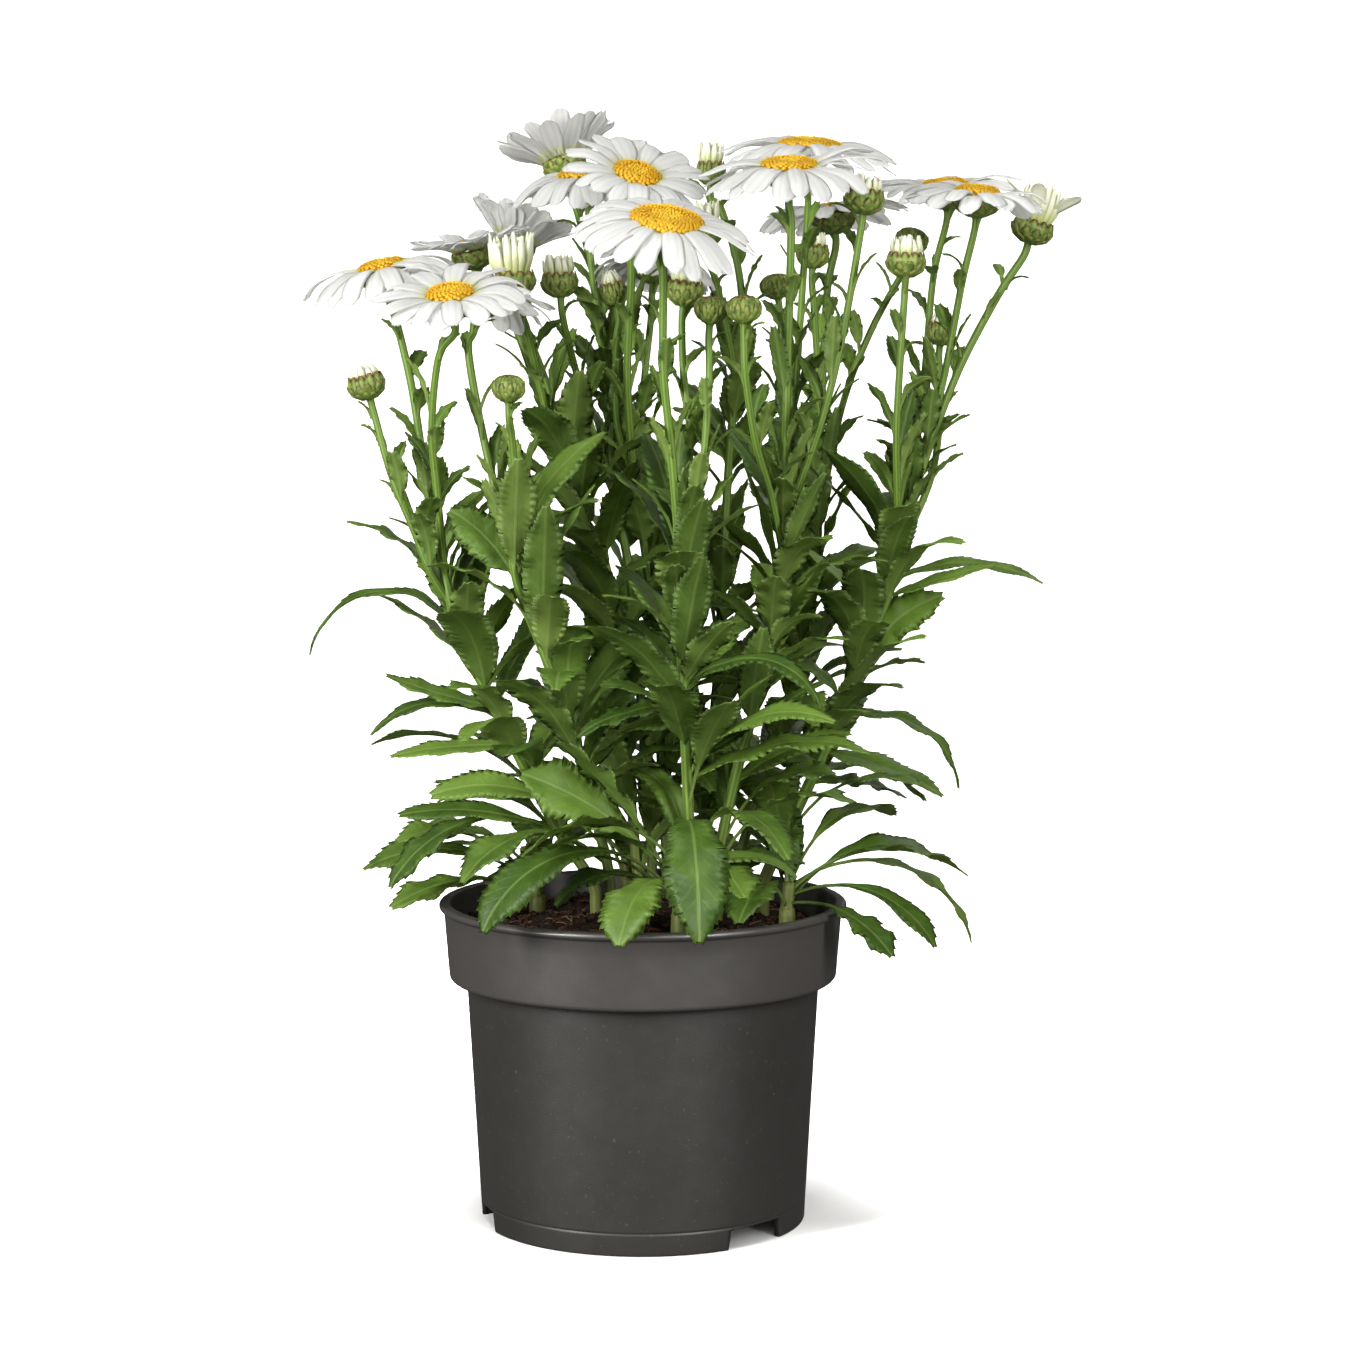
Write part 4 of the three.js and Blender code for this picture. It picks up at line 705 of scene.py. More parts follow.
@functools.lru_cache(maxsize=1)
def plant():
    """The whole plant: its stems with their leaves, and its heads with their petals."""
    stems, heads = [], []
    for i, row in enumerate(STEMS):
        foot = list(row["route"][0])
        stem = dict(row, id=i, name=f"leafy_stem_{i + 1:02d}", first=-1)
        stem["sections"] = MAIN_SECTIONS if row["heads"] else SHOOT_SECTIONS
        stem["path"] = [[*foot, STEM_FOOT], [*foot, SOIL_CROWN + 3], *row["route"][1:]]
        stems.append(stem)
        for order, fields in enumerate(row["heads"]):
            heads.append(dict(fields, stem=stem, order=order, id=len(heads)))
    for head in heads:
        axis = head_frame(head)[0]
        neck = np.array(head["at"], float) - axis * CUP_DEPTH
        head["cup"] = BLOOM_CUP if head["kind"] == "bloom" else head["size"]
        head["path"] = [*map(list, head["route"]), list(neck - axis * 8), list(neck)]
        if head["order"] == 0:
            head["stem"]["path"] = head["stem"]["path"] + head["path"][1:]
            head["stem"]["first"] = head["id"]
    for stem in stems:
        stem["path"] = np.array(stem["path"], float)
    for head in heads:
        if head["order"]:
            stem = head["stem"]
            head["fork"] = share_at(stem, head["path"][0][2])
            head["path"][0] = list(on_chord(stem["path"], stem["sections"], head["fork"])[0])
        head["path"] = np.array(head["path"], float)

    room = Room()
    for stem in stems:
        t = np.arange(61) / 60
        ends = np.where(np.arange(61) > 56, stem["first"], -1)
        room.take(on_chord(stem["path"], stem["sections"], t), stem["radius"], stem["id"], ends)
    for head in heads:
        if head["order"]:
            ends = np.where(np.arange(31) > 24, head["id"], -1)
            line = on_chord(head["path"], STALK_SECTIONS, np.arange(31) / 30)
            room.take(line, STALK_RADIUS, head["stem"]["id"], ends)
        tall = 3 if head["kind"] == "bloom" else head.get("tall", 2)
        angle = all_round(8)
        shell = [(0.6 * head["cup"], -3), (0.6 * head["cup"], tall / 2), (0.6 * head["cup"], tall)]
        for radius, height in shell + ([(15, 8), (21, 11)] if head.get("open") else []):
            room.take(on_head(head, radius, angle, height), head["cup"] * 0.45, ALL_CUPS, head["id"])
    blooms = [head for head in heads if head["kind"] == "bloom"]
    tufts = [head for head in heads if head["kind"] == "tuft"]
    for i, head in enumerate(blooms):
        head["name"], head["node"] = f"bloom_{i + 1:02d}", FIRST_BLOOM + i
        head["petals"] = grow_petals(room, head)
    for i, head in enumerate(tufts):
        head["name"] = f"bud_{i + 1:02d}"
    for stem in stems:
        wishes = stem["chosen"]
        stem["grown"] = [grow(room, stem, w, CHOSEN_TURNS, CHOSEN_SHARES, CHOSEN_BENDS) for w in wishes]
    for i, stem in enumerate(stems):
        wishes = ruled_wishes(stem, i)
        found = [grow(room, stem, w, LEAF_TURNS, LEAF_SHARES, LEAF_BENDS) for w in wishes]
        stem["grown"] = [leaf for leaf in stem["grown"] + found if leaf]
    return stems, heads, blooms, tufts, room


# ---- meshes ----


class Shape:
    """Gathers the points and faces of one piece, with numbers on its points for the materials to read."""

    def __init__(self):
        self.points, self.corners, self.sizes, self.finish = [], [], [], []
        self.values = {name: [] for name in ("tint", "along", "across", "edge")}
        self.count = 0

    def add(self, points, faces, **values):
        """Adds points, and faces as pairs of corner indices and a material's number."""
        points = np.asarray(points, float).reshape(-1, 3)
        for corners, finish in faces:
            self.corners.append((corners + self.count).ravel())
            self.sizes.append(np.full(len(corners), corners.shape[1]))
            self.finish.append(np.full(len(corners), finish))
        self.points.append(points)
        for name, kept in self.values.items():
            kept.append(np.broadcast_to(np.ravel(values.get(name, 0.0)), len(points)))
        self.count += len(points)

    def make(self, name, materials):
        mesh = bpy.data.meshes.new(name)
        sizes = np.concatenate(self.sizes).astype(np.int32)
        corners = np.concatenate(self.corners).astype(np.int32)
        mesh.vertices.add(self.count)
        mesh.vertices.foreach_set("co", (np.concatenate(self.points) * MM).astype(np.float32).ravel())
        mesh.loops.add(len(corners))
        mesh.loops.foreach_set("vertex_index", corners)
        mesh.polygons.add(len(sizes))
        mesh.polygons.foreach_set("loop_start", (np.cumsum(sizes) - sizes).astype(np.int32))
        mesh.polygons.foreach_set("material_index", np.concatenate(self.finish).astype(np.int32))
        mesh.polygons.foreach_set("use_smooth", np.ones(len(sizes), bool))
        mesh.update(calc_edges=True)
        for label, kept in self.values.items():
            field = mesh.attributes.new(label, "FLOAT", "POINT")
            field.data.foreach_set("value", np.concatenate(kept).astype(np.float32))
        if mesh.validate():
            raise RuntimeError(f"{name} has bad faces")
        for material in materials:
            mesh.materials.append(material)
        made = bpy.data.objects.new(name, mesh)
        bpy.context.scene.collection.objects.link(made)
        return made


def stand_for(piece, node):
    """The piece takes the place of its CAD node and rides on the plant's one body."""
    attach(piece, BODY)
    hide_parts(node)


@functools.lru_cache(maxsize=None)
def ring_faces(rows, sides):
    """The faces of a tube of rows of points, and those of the fans at its two ends."""
    grid = np.arange(rows * sides).reshape(rows, sides)
    beside = np.roll(grid, -1, axis=1)
    walls = np.stack([grid[:-1], beside[:-1], beside[1:], grid[1:]], axis=-1).reshape(-1, 4)
    low = np.full(sides, rows * sides)
    foot = np.stack([beside[0], grid[0], low], axis=-1)
    crown = np.stack([grid[-1], beside[-1], low + 1], axis=-1)
    return walls, np.concatenate([foot, crown])


def add_rings(shape, grid, low, high, finish=0, **values):
    """A closed body from rows of points that run round it, and a point at each end."""
    rows, sides = grid.shape[:2]
    walls, ends = ring_faces(rows, sides)
    spread = {}
    for name, value in values.items():
        table = np.broadcast_to(value, (rows, sides))
        spread[name] = np.concatenate([table.ravel(), [table[0, 0], table[-1, 0]]])
    points = np.concatenate([grid.reshape(-1, 3), [low], [high]])
    shape.add(points, [(walls, finish), (ends, finish)], **spread)


@functools.lru_cache(maxsize=None)
def sheet_faces(rows, columns):
    """The faces of a thin sheet's two sides, and those of its short ends."""
    top = np.arange(rows * columns).reshape(rows, columns)
    under = top.copy()
    under[:, 1:-1] = rows * columns + np.arange(rows * (columns - 2)).reshape(rows, columns - 2)
    upper = np.stack([top[:-1, :-1], top[1:, :-1], top[1:, 1:], top[:-1, 1:]], axis=-1).reshape(-1, 4)
    lower = np.stack([under[:-1, 1:], under[1:, 1:], under[1:, :-1], under[:-1, :-1]], axis=-1).reshape(-1, 4)
    quads, tris = [], []
    for row, order in ((0, 1), (rows - 1, -1)):
        for j in range(columns - 1):
            corners = [top[row, j], top[row, j + 1], under[row, j + 1], under[row, j]][::order]
            kept = list(dict.fromkeys(corners))
            (quads if len(kept) == 4 else tris).append(kept)
    return upper, lower, np.array(quads or np.zeros((0, 4), int)), np.array(tris)


def add_sheet(shape, top, under, finish=(0, 1), **values):
    """A thin closed body from two grids of points that share their outer columns."""
    rows, columns = top.shape[:2]
    upper, lower, quads, tris = sheet_faces(rows, columns)
    spread = {}
    for name, value in values.items():
        table = np.broadcast_to(value, (rows, columns))
        spread[name] = np.concatenate([table.ravel(), table[:, 1:-1].ravel()])
    points = np.concatenate([top.reshape(-1, 3), under[:, 1:-1].reshape(-1, 3)])
    faces = [(upper, finish[0]), (lower, finish[1]), (quads, finish[1]), (tris, finish[1])]
    shape.add(points, [pair for pair in faces if len(pair[0])], **spread)


def add_copies(shape, points, faces, frames, places, **values):
    """Copies of a small form. A frame's three rows are the form's axes, with its size in them."""
    moved = np.einsum("pi,kij->kpj", points, frames) + places[:, None]
    start = np.arange(len(places))[:, None, None] * len(points)
    lists = [((corners[None] + start).reshape(-1, corners.shape[1]), 0) for corners in faces]
    tables = {name: np.broadcast_to(value, (len(places), len(points))) for name, value in values.items()}
    shape.add(moved, lists, **tables)


def run_length(line):
    """How far along a line of points each of them is."""
    return np.concatenate([[0], np.cumsum(np.linalg.norm(np.diff(line, axis=0), axis=1))])


def add_rod(shape, line, radius, sides, ribs, finish, tint, along=0.0):
    """A round or ribbed rod on a line of points that is never level with the Y axis."""
    way = unit(np.gradient(line, axis=0))
    right = unit(np.cross([0.0, 1.0, 0.0], way))
    back = np.cross(way, right)
    angle = all_round(sides)
    rib = 0.5 + 0.5 * np.cos(angle * sides / 2)
    reach = np.broadcast_to(radius, len(line))[:, None] * (1 - ribs + 2 * ribs * rib)
    aside = (reach * np.cos(angle))[..., None] * right[:, None]
    behind = (reach * np.sin(angle))[..., None] * back[:, None]
    grid = line[:, None] + aside + behind
    run = along + run_length(line)[:, None]
    add_rings(shape, grid, line[0], line[-1], finish, tint=tint, edge=rib[None], along=run)


# ---- materials ----

# A Mix node keeps its two colours and their blend at these places.
A, B, BLEND = 6, 7, 2
COLOURS = {"data_type": "RGBA"}
SMOOTH = {"interpolation_type": "SMOOTHSTEP"}


def srgb(code):
    """The linear colour of an sRGB hex value."""
    values = [int(code[i : i + 2], 16) / 255 for i in (0, 2, 4)]
    return tuple(v / 12.92 if v <= 0.04045 else ((v + 0.055) / 1.055) ** 2.4 for v in values)


# Colours that aren't among the settings.
DUST = srgb("8d857b")
DARK_BARK, ROTTED_BARK = srgb("3a2415"), srgb("4b3222")
RUSTY_FIBRE = srgb("3b281a")
LEAF_GLOW = srgb("b9cf52")
DULL_STEM, RIPE_STEM = srgb("5f7f35"), srgb("6a5a3a")
BRACT_SHADE, BRACT_GREEN = srgb("55702a"), srgb("8a9c46")
PETAL_ROOT = srgb("cfd3a4")
BUD_FURROW = srgb("b9c68c")
POLLEN = srgb("ecc035")
ROOM_WHITE = srgb("fbfaf8")
# Millimetres between a leaf's side veins.
VEIN_PITCH = 7


def feed(made, inputs):
    """Sets a node's inputs, or links them to the outputs that they are given."""
    for name, value in inputs.items():
        socket = made.inputs[name]
        if isinstance(value, bpy.types.NodeSocket):
            made.id_data.links.new(value, socket)
        else:
            socket.default_value = (*value, 1) if socket.type == "RGBA" else value


def add_node(tree, kind, inputs=(), output=0, **settings):
    """Adds a node with its settings, feeds its inputs by name or in their order, and gives an output."""
    made = tree.nodes.new(f"ShaderNode{kind}")
    for name, value in settings.items():
        setattr(made, name, value)
    feed(made, inputs if isinstance(inputs, dict) else dict(enumerate(inputs)))
    return made.outputs[output]


def new_material(name, **settings):
    """A material, its shader with the values that are even all over, and what adds a node to it."""
    material = bpy.data.materials.new(name)
    material.use_nodes = True
    shader = material.node_tree.nodes["Principled BSDF"]
    feed(shader, {label.replace("_", " "): value for label, value in settings.items()})
    return material, shader, functools.partial(add_node, material.node_tree)


def let_light_through(shader, node, colour, share):
    """Passes a share of the light on through each face, as thin living tissue does."""
    passing = node("BsdfTranslucent", {"Color": colour})
    both = node("MixShader", [share, shader.outputs["BSDF"], passing])
    feed(shader.id_data.nodes["Material Output"], {"Surface": both})


def moulded_polypropylene(look):
    """Injection-moulded polypropylene, dark grey: a broad satin gloss from a spark-eroded mould's grain.
    The collar, where hands and machines hold the pot, is rubbed paler and glossier than the body.
    The real grain is about 0.2 mm. It is drawn at 0.7 mm, which is as fine as a view of the whole shows."""
    material, shader, node = new_material("moulded_polypropylene", IOR=1.49)
    place = node("TexCoord", output="Object")
    height = node("SeparateXYZ", [place], "Z")
    collar = node("MapRange", [height, (COLLAR_LOW - 1) * MM, (COLLAR_LOW + 1) * MM], **SMOOTH)
    cloud = node("TexNoise", {"Vector": place, "Scale": 1 / (45 * MM), "Detail": 3})
    dusty = node("MapRange", [cloud, 0.35, 0.7], **SMOOTH)
    colour = node("Mix", {0: dusty, A: look.colour, B: look.worn_colour}, BLEND, **COLOURS)
    specks = node("TexNoise", {"Vector": place, "Scale": 1 / (2.2 * MM), "Detail": 3, "Roughness": 0.7})
    fleck = node("MapRange", [specks, 0.62, 0.8, 0, 0.22], **SMOOTH)
    colour = node("Mix", {0: fleck, A: colour, B: DUST}, BLEND, **COLOURS)
    colour = node("Mix", {0: collar, A: colour, B: look.collar_colour}, BLEND, **COLOURS)
    shine = node("MapRange", [collar, 0, 1, 0.68, 1])
    handled = node("TexNoise", {"Vector": place, "Scale": 1 / (9 * MM), "Detail": 4})
    gloss = node("MapRange", [handled, 0.3, 0.75, look.roughness - 0.02, look.roughness + 0.03], **SMOOTH)
    gloss = node("Math", [collar, -0.04, gloss], operation="MULTIPLY_ADD")
    swell = node("TexNoise", {"Vector": place, "Scale": 1 / (16 * MM)})
    coarse = node("Bump", {"Height": swell, "Distance": 0.02 * MM})
    grain = node("TexNoise", {"Vector": place, "Scale": 1 / (0.7 * MM)})
    relief = node("Bump", {"Height": grain, "Distance": 0.05 * MM, "Strength": 0.7, "Normal": coarse})
    feed(shader, {"Base Color": colour, "Specular IOR Level": shine, "Roughness": gloss, "Normal": relief})
    return material


def milled_peat(look):
    """Damp milled peat: nearly black crumbs with brown fibre, quite matt."""
    material, shader, node = new_material("milled_peat", Roughness=0.95, Specular_IOR_Level=0.25)
    place = node("TexCoord", output="Object")
    crumbs = node("TexNoise", {"Vector": place, "Scale": 1 / (2.4 * MM), "Detail": 5, "Roughness": 0.65})
    dry = node("MapRange", [crumbs, 0.35, 0.7], **SMOOTH)
    colour = node("Mix", {0: dry, A: look.peat_colour, B: look.dry_peat_colour}, BLEND, **COLOURS)
    threads = node("TexNoise", {"Vector": place, "Scale": 1 / (1.3 * MM), "Detail": 3, "Roughness": 0.7})
    pale = node("MapRange", [threads, 0.66, 0.76, 0, 0.5], **SMOOTH)
    colour = node("Mix", {0: pale, A: colour, B: look.fibre_colour}, BLEND, **COLOURS)
    lumps = node("TexNoise", {"Vector": place, "Scale": 1 / (3.5 * MM), "Detail": 4, "Roughness": 0.6})
    coarse = node("Bump", {"Height": lumps, "Distance": 1.2 * MM})
    grit = node("TexNoise", {"Vector": place, "Scale": 1 / MM, "Detail": 3})
    relief = node("Bump", {"Height": grit, "Distance": 0.5 * MM, "Strength": 0.8, "Normal": coarse})
    feed(shader, {"Base Color": colour, "Normal": relief})
    return material


def composted_bark(look):
    """Composted pine bark: orange-brown chips with dark layers."""
    material, shader, node = new_material("composted_bark", Roughness=0.85)
    place = node("TexCoord", output="Object")
    layers = node("TexNoise", {"Vector": place, "Scale": 1 / (1.6 * MM), "Detail": 4, "Roughness": 0.7})
    grain = node("MapRange", [layers, 0.3, 0.75], **SMOOTH)
    colour = node("Mix", {0: grain, A: look.bark_colour, B: DARK_BARK}, BLEND, **COLOURS)
    tint = node("Attribute", output="Fac", attribute_name="tint")
    rotted = node("MapRange", [tint, 0.2, 0.9], **SMOOTH)
    colour = node("Mix", {0: rotted, A: colour, B: ROTTED_BARK}, BLEND, **COLOURS)
    relief = node("Bump", {"Height": grain, "Distance": 0.5 * MM})
    feed(shader, {"Base Color": colour, "Normal": relief})
    return material


def peat_fibre(look):
    """Root and moss fibre in the peat: pale to rusty threads."""
    material, shader, node = new_material("peat_fibre", Roughness=0.8)
    tint = node("Attribute", output="Fac", attribute_name="tint")
    colour = node("Mix", {0: tint, A: look.fibre_colour, B: RUSTY_FIBRE}, BLEND, **COLOURS)
    feed(shader, {"Base Color": colour})
    return material


def leaf_skin(look, name, colour, shade, vein, depth):
    """A grown leaf: mid-green with a waxy sheen. A pale midrib and net of side veins lead to the teeth.
    The side veins stand 7 mm apart, and the cells between them pucker every 2 mm."""
    material, shader, node = new_material(name, Roughness=look.roughness, Specular_IOR_Level=0.42)
    tint = node("Attribute", output="Fac", attribute_name="tint")
    along = node("Attribute", output="Fac", attribute_name="along")
    across = node("Attribute", output="Fac", attribute_name="across")
    place = node("TexCoord", output="Object")
    blotch = node("TexNoise", {"Vector": place, "Scale": 1 / (11 * MM), "Detail": 3})
    age = node("Math", [tint, 0.6], operation="MULTIPLY")
    patch = node("Math", [blotch, 0.8, age], operation="MULTIPLY_ADD")
    young = node("MapRange", [patch, 0.3, 1.1], **SMOOTH)
    body = node("Mix", {0: young, A: shade, B: colour}, BLEND, **COLOURS)
    off = node("Math", [across], operation="ABSOLUTE")
    swept = node("Math", [off, -1.25, along], operation="MULTIPLY_ADD")
    sway = node("TexNoise", {"Vector": place, "Scale": 1 / (9 * MM)})
    wavy = node("Math", [sway, 3, swept], operation="MULTIPLY_ADD")
    turn = node("Math", [wavy, 2 * math.pi / VEIN_PITCH], operation="MULTIPLY")
    crest = node("Math", [turn], operation="SINE")
    side_vein = node("MapRange", [crest, 0.86, 1, 0, 0.3], **SMOOTH)
    midrib = node("MapRange", [off, 0.35, 1, 1, 0], **SMOOTH)
    veins = node("Math", [side_vein, midrib], operation="MAXIMUM")
    pale = node("Math", [veins, 0.24], operation="MULTIPLY")
    skin = node("Mix", {0: pale, A: body, B: vein}, BLEND, **COLOURS)
    cells = node("TexNoise", {"Vector": place, "Scale": 1 / (2 * MM)})
    pucker = node("Bump", {"Height": cells, "Distance": 0.22 * MM, "Strength": 0.6})
    relief = node("Bump", {"Height": veins, "Distance": depth * MM, "Strength": 0.6, "Normal": pucker})
    feed(shader, {"Base Color": skin, "Normal": relief})
    let_light_through(shader, node, LEAF_GLOW, 0.16)
    return material


def ribbed_stem(look):
    """A green herb stem: pale ribs over darker furrows, ripening to dull purple-brown at its foot."""
    material, shader, node = new_material("ribbed_stem", Roughness=0.5, Specular_IOR_Level=0.4)
    edge = node("Attribute", output="Fac", attribute_name="edge")
    along = node("Attribute", output="Fac", attribute_name="along")
    place = node("TexCoord", output="Object")
    rib = node("MapRange", [edge, 0.1, 0.9], **SMOOTH)
    colour = node("Mix", {0: rib, A: look.furrow_colour, B: look.stem_colour}, BLEND, **COLOURS)
    blotch = node("TexNoise", {"Vector": place, "Scale": 1 / (14 * MM), "Detail": 3})
    dull = node("MapRange", [blotch, 0.4, 0.75, 0, 0.35], **SMOOTH)
    colour = node("Mix", {0: dull, A: colour, B: DULL_STEM}, BLEND, **COLOURS)
    ripe = node("MapRange", [along, 25, 90, 0.55, 0], **SMOOTH)
    colour = node("Mix", {0: ripe, A: colour, B: RIPE_STEM}, BLEND, **COLOURS)
    skin = node("TexNoise", {"Vector": place, "Scale": 1 / (1.6 * MM)})
    relief = node("Bump", {"Height": skin, "Distance": 0.12 * MM, "Strength": 0.6})
    feed(shader, {"Base Color": colour, "Normal": relief})
    return material


def papery_bract(look):
    """The scales under a head: green with a thin dry brown margin, as on all plants of this kind."""
    material, shader, node = new_material("papery_bract", Roughness=0.55)
    edge = node("Attribute", output="Fac", attribute_name="edge")
    along = node("Attribute", output="Fac", attribute_name="along")
    place = node("TexCoord", output="Object")
    blotch = node("TexNoise", {"Vector": place, "Scale": 1 / (3 * MM)})
    fresh = node("MapRange", [blotch, 0.3, 0.7], **SMOOTH)
    green = node("Mix", {0: fresh, A: BRACT_SHADE, B: BRACT_GREEN}, BLEND, **COLOURS)
    rim = node("MapRange", [edge, 0.5, 0.9], **SMOOTH)
    upper = node("MapRange", [along, 0, 0.34, 0.35, 1], **SMOOTH)
    dry = node("Math", [rim, upper], operation="MULTIPLY")
    colour = node("Mix", {0: dry, A: green, B: look.margin_colour}, BLEND, **COLOURS)
    paper = node("TexNoise", {"Vector": place, "Scale": 1 / MM})
    relief = node("Bump", {"Height": paper, "Distance": 0.1 * MM, "Strength": 0.6})
    feed(shader, {"Base Color": colour, "Normal": relief})
    return material


def ray_petal(look):
    """A fresh ray petal: white, soft and a little see-through, with two shallow grey grooves."""
    material, shader, node = new_material("ray_petal", Roughness=0.6, Specular_IOR_Level=0.3)
    edge = node("Attribute", output="Fac", attribute_name="edge")
    along = node("Attribute", output="Fac", attribute_name="along")
    beside = node("Math", [edge, 0.34], operation="SUBTRACT")
    near = node("Math", [beside], operation="ABSOLUTE")
    groove = node("MapRange", [near, 0.02, 0.22, 0.2, 0], **SMOOTH)
    turn = node("Math", [edge, 34], operation="MULTIPLY")
    crest = node("Math", [turn], operation="SINE")
    strand = node("MapRange", [crest, 0.4, 1, 0, 0.06], **SMOOTH)
    lines = node("Math", [groove, strand], operation="MAXIMUM")
    colour = node("Mix", {0: lines, A: look.colour, B: look.groove_colour}, BLEND, **COLOURS)
    root = node("MapRange", [along, 0, 0.24, 0.7, 0], **SMOOTH)
    colour = node("Mix", {0: root, A: colour, B: PETAL_ROOT}, BLEND, **COLOURS)
    relief = node("Bump", {"Height": lines, "Distance": -0.2 * MM, "Strength": 0.7})
    feed(shader, {"Base Color": colour, "Normal": relief})
    let_light_through(shader, node, colour, 0.5)
    return material


def bud_petal(look):
    """A ray petal still in bud: rolled, pale green below and greenish white at its tip."""
    material, shader, node = new_material("bud_petal", Roughness=0.58, Subsurface_Weight=0.4,
                                          Subsurface_Radius=(0.8, 1, 0.5), Subsurface_Scale=0.0015)
    edge = node("Attribute", output="Fac", attribute_name="edge")
    along = node("Attribute", output="Fac", attribute_name="along")
    place = node("TexCoord", output="Object")
    high = node("MapRange", [along, 0.05, 0.75], **SMOOTH)
    colour = node("Mix", {0: high, A: look.foot_colour, B: look.tip_colour}, BLEND, **COLOURS)
    furrow = node("MapRange", [edge, 0.45, 0.95, 0, 0.45], **SMOOTH)
    colour = node("Mix", {0: furrow, A: colour, B: BUD_FURROW}, BLEND, **COLOURS)
    skin = node("TexNoise", {"Vector": place, "Scale": 1 / (1.4 * MM)})
    relief = node("Bump", {"Height": skin, "Distance": 0.1 * MM, "Strength": 0.5})
    feed(shader, {"Base Color": colour, "Normal": relief})
    return material


def disc_floret(look):
    """The disc's tube florets: orange-yellow where they have opened, yellow-green buds in the middle."""
    material, shader, node = new_material("disc_floret", Roughness=0.62, Subsurface_Weight=0.08,
                                          Subsurface_Radius=(0.0015, 0.001, 0.0003))
    tint = node("Attribute", output="Fac", attribute_name="tint")
    along = node("Attribute", output="Fac", attribute_name="along")
    across = node("Attribute", output="Fac", attribute_name="across")
    opened = node("MapRange", [across, 0.18, 0.6], **SMOOTH)
    colour = node("Mix", {0: opened, A: look.bud_colour, B: look.colour}, BLEND, **COLOURS)
    pollen = node("MapRange", [tint, 0, 1, 0, 0.3], **SMOOTH)
    colour = node("Mix", {0: pollen, A: colour, B: POLLEN}, BLEND, **COLOURS)
    deep = node("MapRange", [along, 0, 0.75, 1, 0], **SMOOTH)
    colour = node("Mix", {0: deep, A: colour, B: look.depth_colour}, BLEND, **COLOURS)
    feed(shader, {"Base Color": colour})
    return material


def painted_paper(look):
    """A roll of background paper, pale and matt, with the faint tooth of its fibre."""
    material, shader, node = new_material("background_paper", Roughness=0.9, Specular_IOR_Level=0.1)
    place = node("TexCoord", output="Object")
    cloud = node("TexNoise", {"Vector": place, "Scale": 1 / (120 * MM), "Detail": 3})
    tone = node("MapRange", [cloud, 0.2, 0.8], **SMOOTH)
    darker = [v * 0.97 for v in look.floor_colour]
    colour = node("Mix", {0: tone, A: look.floor_colour, B: darker}, BLEND, **COLOURS)
    feed(shader, {"Base Color": colour})
    return material


# ---- the pot and what fills it ----


def round_the_axis(profile, sides):
    """A profile of radius and height turned about the pot's axis."""
    angle = all_round(sides)
    radius, height = np.array(profile, float).T
    level = np.broadcast_to(height[:, None], (len(profile), sides))
    return np.stack([radius[:, None] * np.cos(angle), radius[:, None] * np.sin(angle), level], axis=-1)


def wall_radius(height):
    """The outer radius of the pot's plain wall."""
    return mix(FOOT_RADIUS, BODY_TOP_RADIUS, height / COLLAR_LOW)


def bow(centre, radius, start, end, steps):
    """Points on an arc in the pot's profile, with its angles in degrees."""
    turn = np.radians(np.linspace(start, end, steps))
    return [(centre[0] + radius * math.cos(a), centre[1] + radius * math.sin(a)) for a in turn]


def straight(start, end, shares):
    """Points on a straight stretch of the pot's profile."""
    return [(mix(start[0], end[0], t), mix(start[1], end[1], t)) for t in shares]


def pot_profile(look):
    """The pot's outline as radius and height, up its outer face and down its inner one."""
    bead, round_low = look.lip_bead / MM, look.collar_round / MM
    seam = look.seam_height / MM
    step = POT_HEIGHT - 2 * bead
    inside = FOOT_RADIUS - FOOT_WALL
    outer = [(inside, FLOOR_LOW), (inside, 0.5), (inside + 0.5, 0)]
    outer += bow((FOOT_RADIUS - FOOT_ROUND, FOOT_ROUND), FOOT_ROUND, -90, 0, 4)
    outer += [(wall_radius(h), h) for h in (1.4, seam - 1.2, seam - 0.5)]
    outer += [(wall_radius(seam) - SEAM_DEPTH, seam + h) for h in (-0.1, 0.1)]
    outer += [(wall_radius(seam + h), seam + h) for h in (0.5, 1.2)]
    outer += [(wall_radius(h), h) for h in range(20, 112, 13)]
    corner = ((-0.1, -1.4), (0.3, -0.4), (1.3, 0))
    outer += [(BODY_TOP_RADIUS + out, COLLAR_LOW + up) for out, up in corner]
    outer += bow((COLLAR_LOW_RADIUS - round_low, COLLAR_LOW + round_low), round_low, -90, 0, 7)
    low, high = (COLLAR_LOW_RADIUS, COLLAR_LOW + round_low), (COLLAR_TOP_RADIUS, step - 0.9)
    outer += straight(low, high, (0.25, 0.5, 0.75, 1))
    outer += [(COLLAR_TOP_RADIUS + 0.25, step - 0.25)]
    outer += bow((LIP_RADIUS - bead, POT_HEIGHT - bead), bead, -75, 90, 8)
    inner = bow((LIP_RADIUS - 4.4, POT_HEIGHT - INNER_LIP), INNER_LIP, 90, 180, 4)
    inner += straight((LIP_RADIUS - 5.3, POT_HEIGHT - 3), (INNER_RADIUS, COLLAR_LOW + 4), (0, 0.5, 1))
    inner += [(BODY_TOP_RADIUS - WALL, COLLAR_LOW - WALL), (FOOT_RADIUS - WALL, FLOOR_TOP + 1)]
    inner += [(FOOT_RADIUS - WALL - 1, FLOOR_TOP)]
    return outer + inner


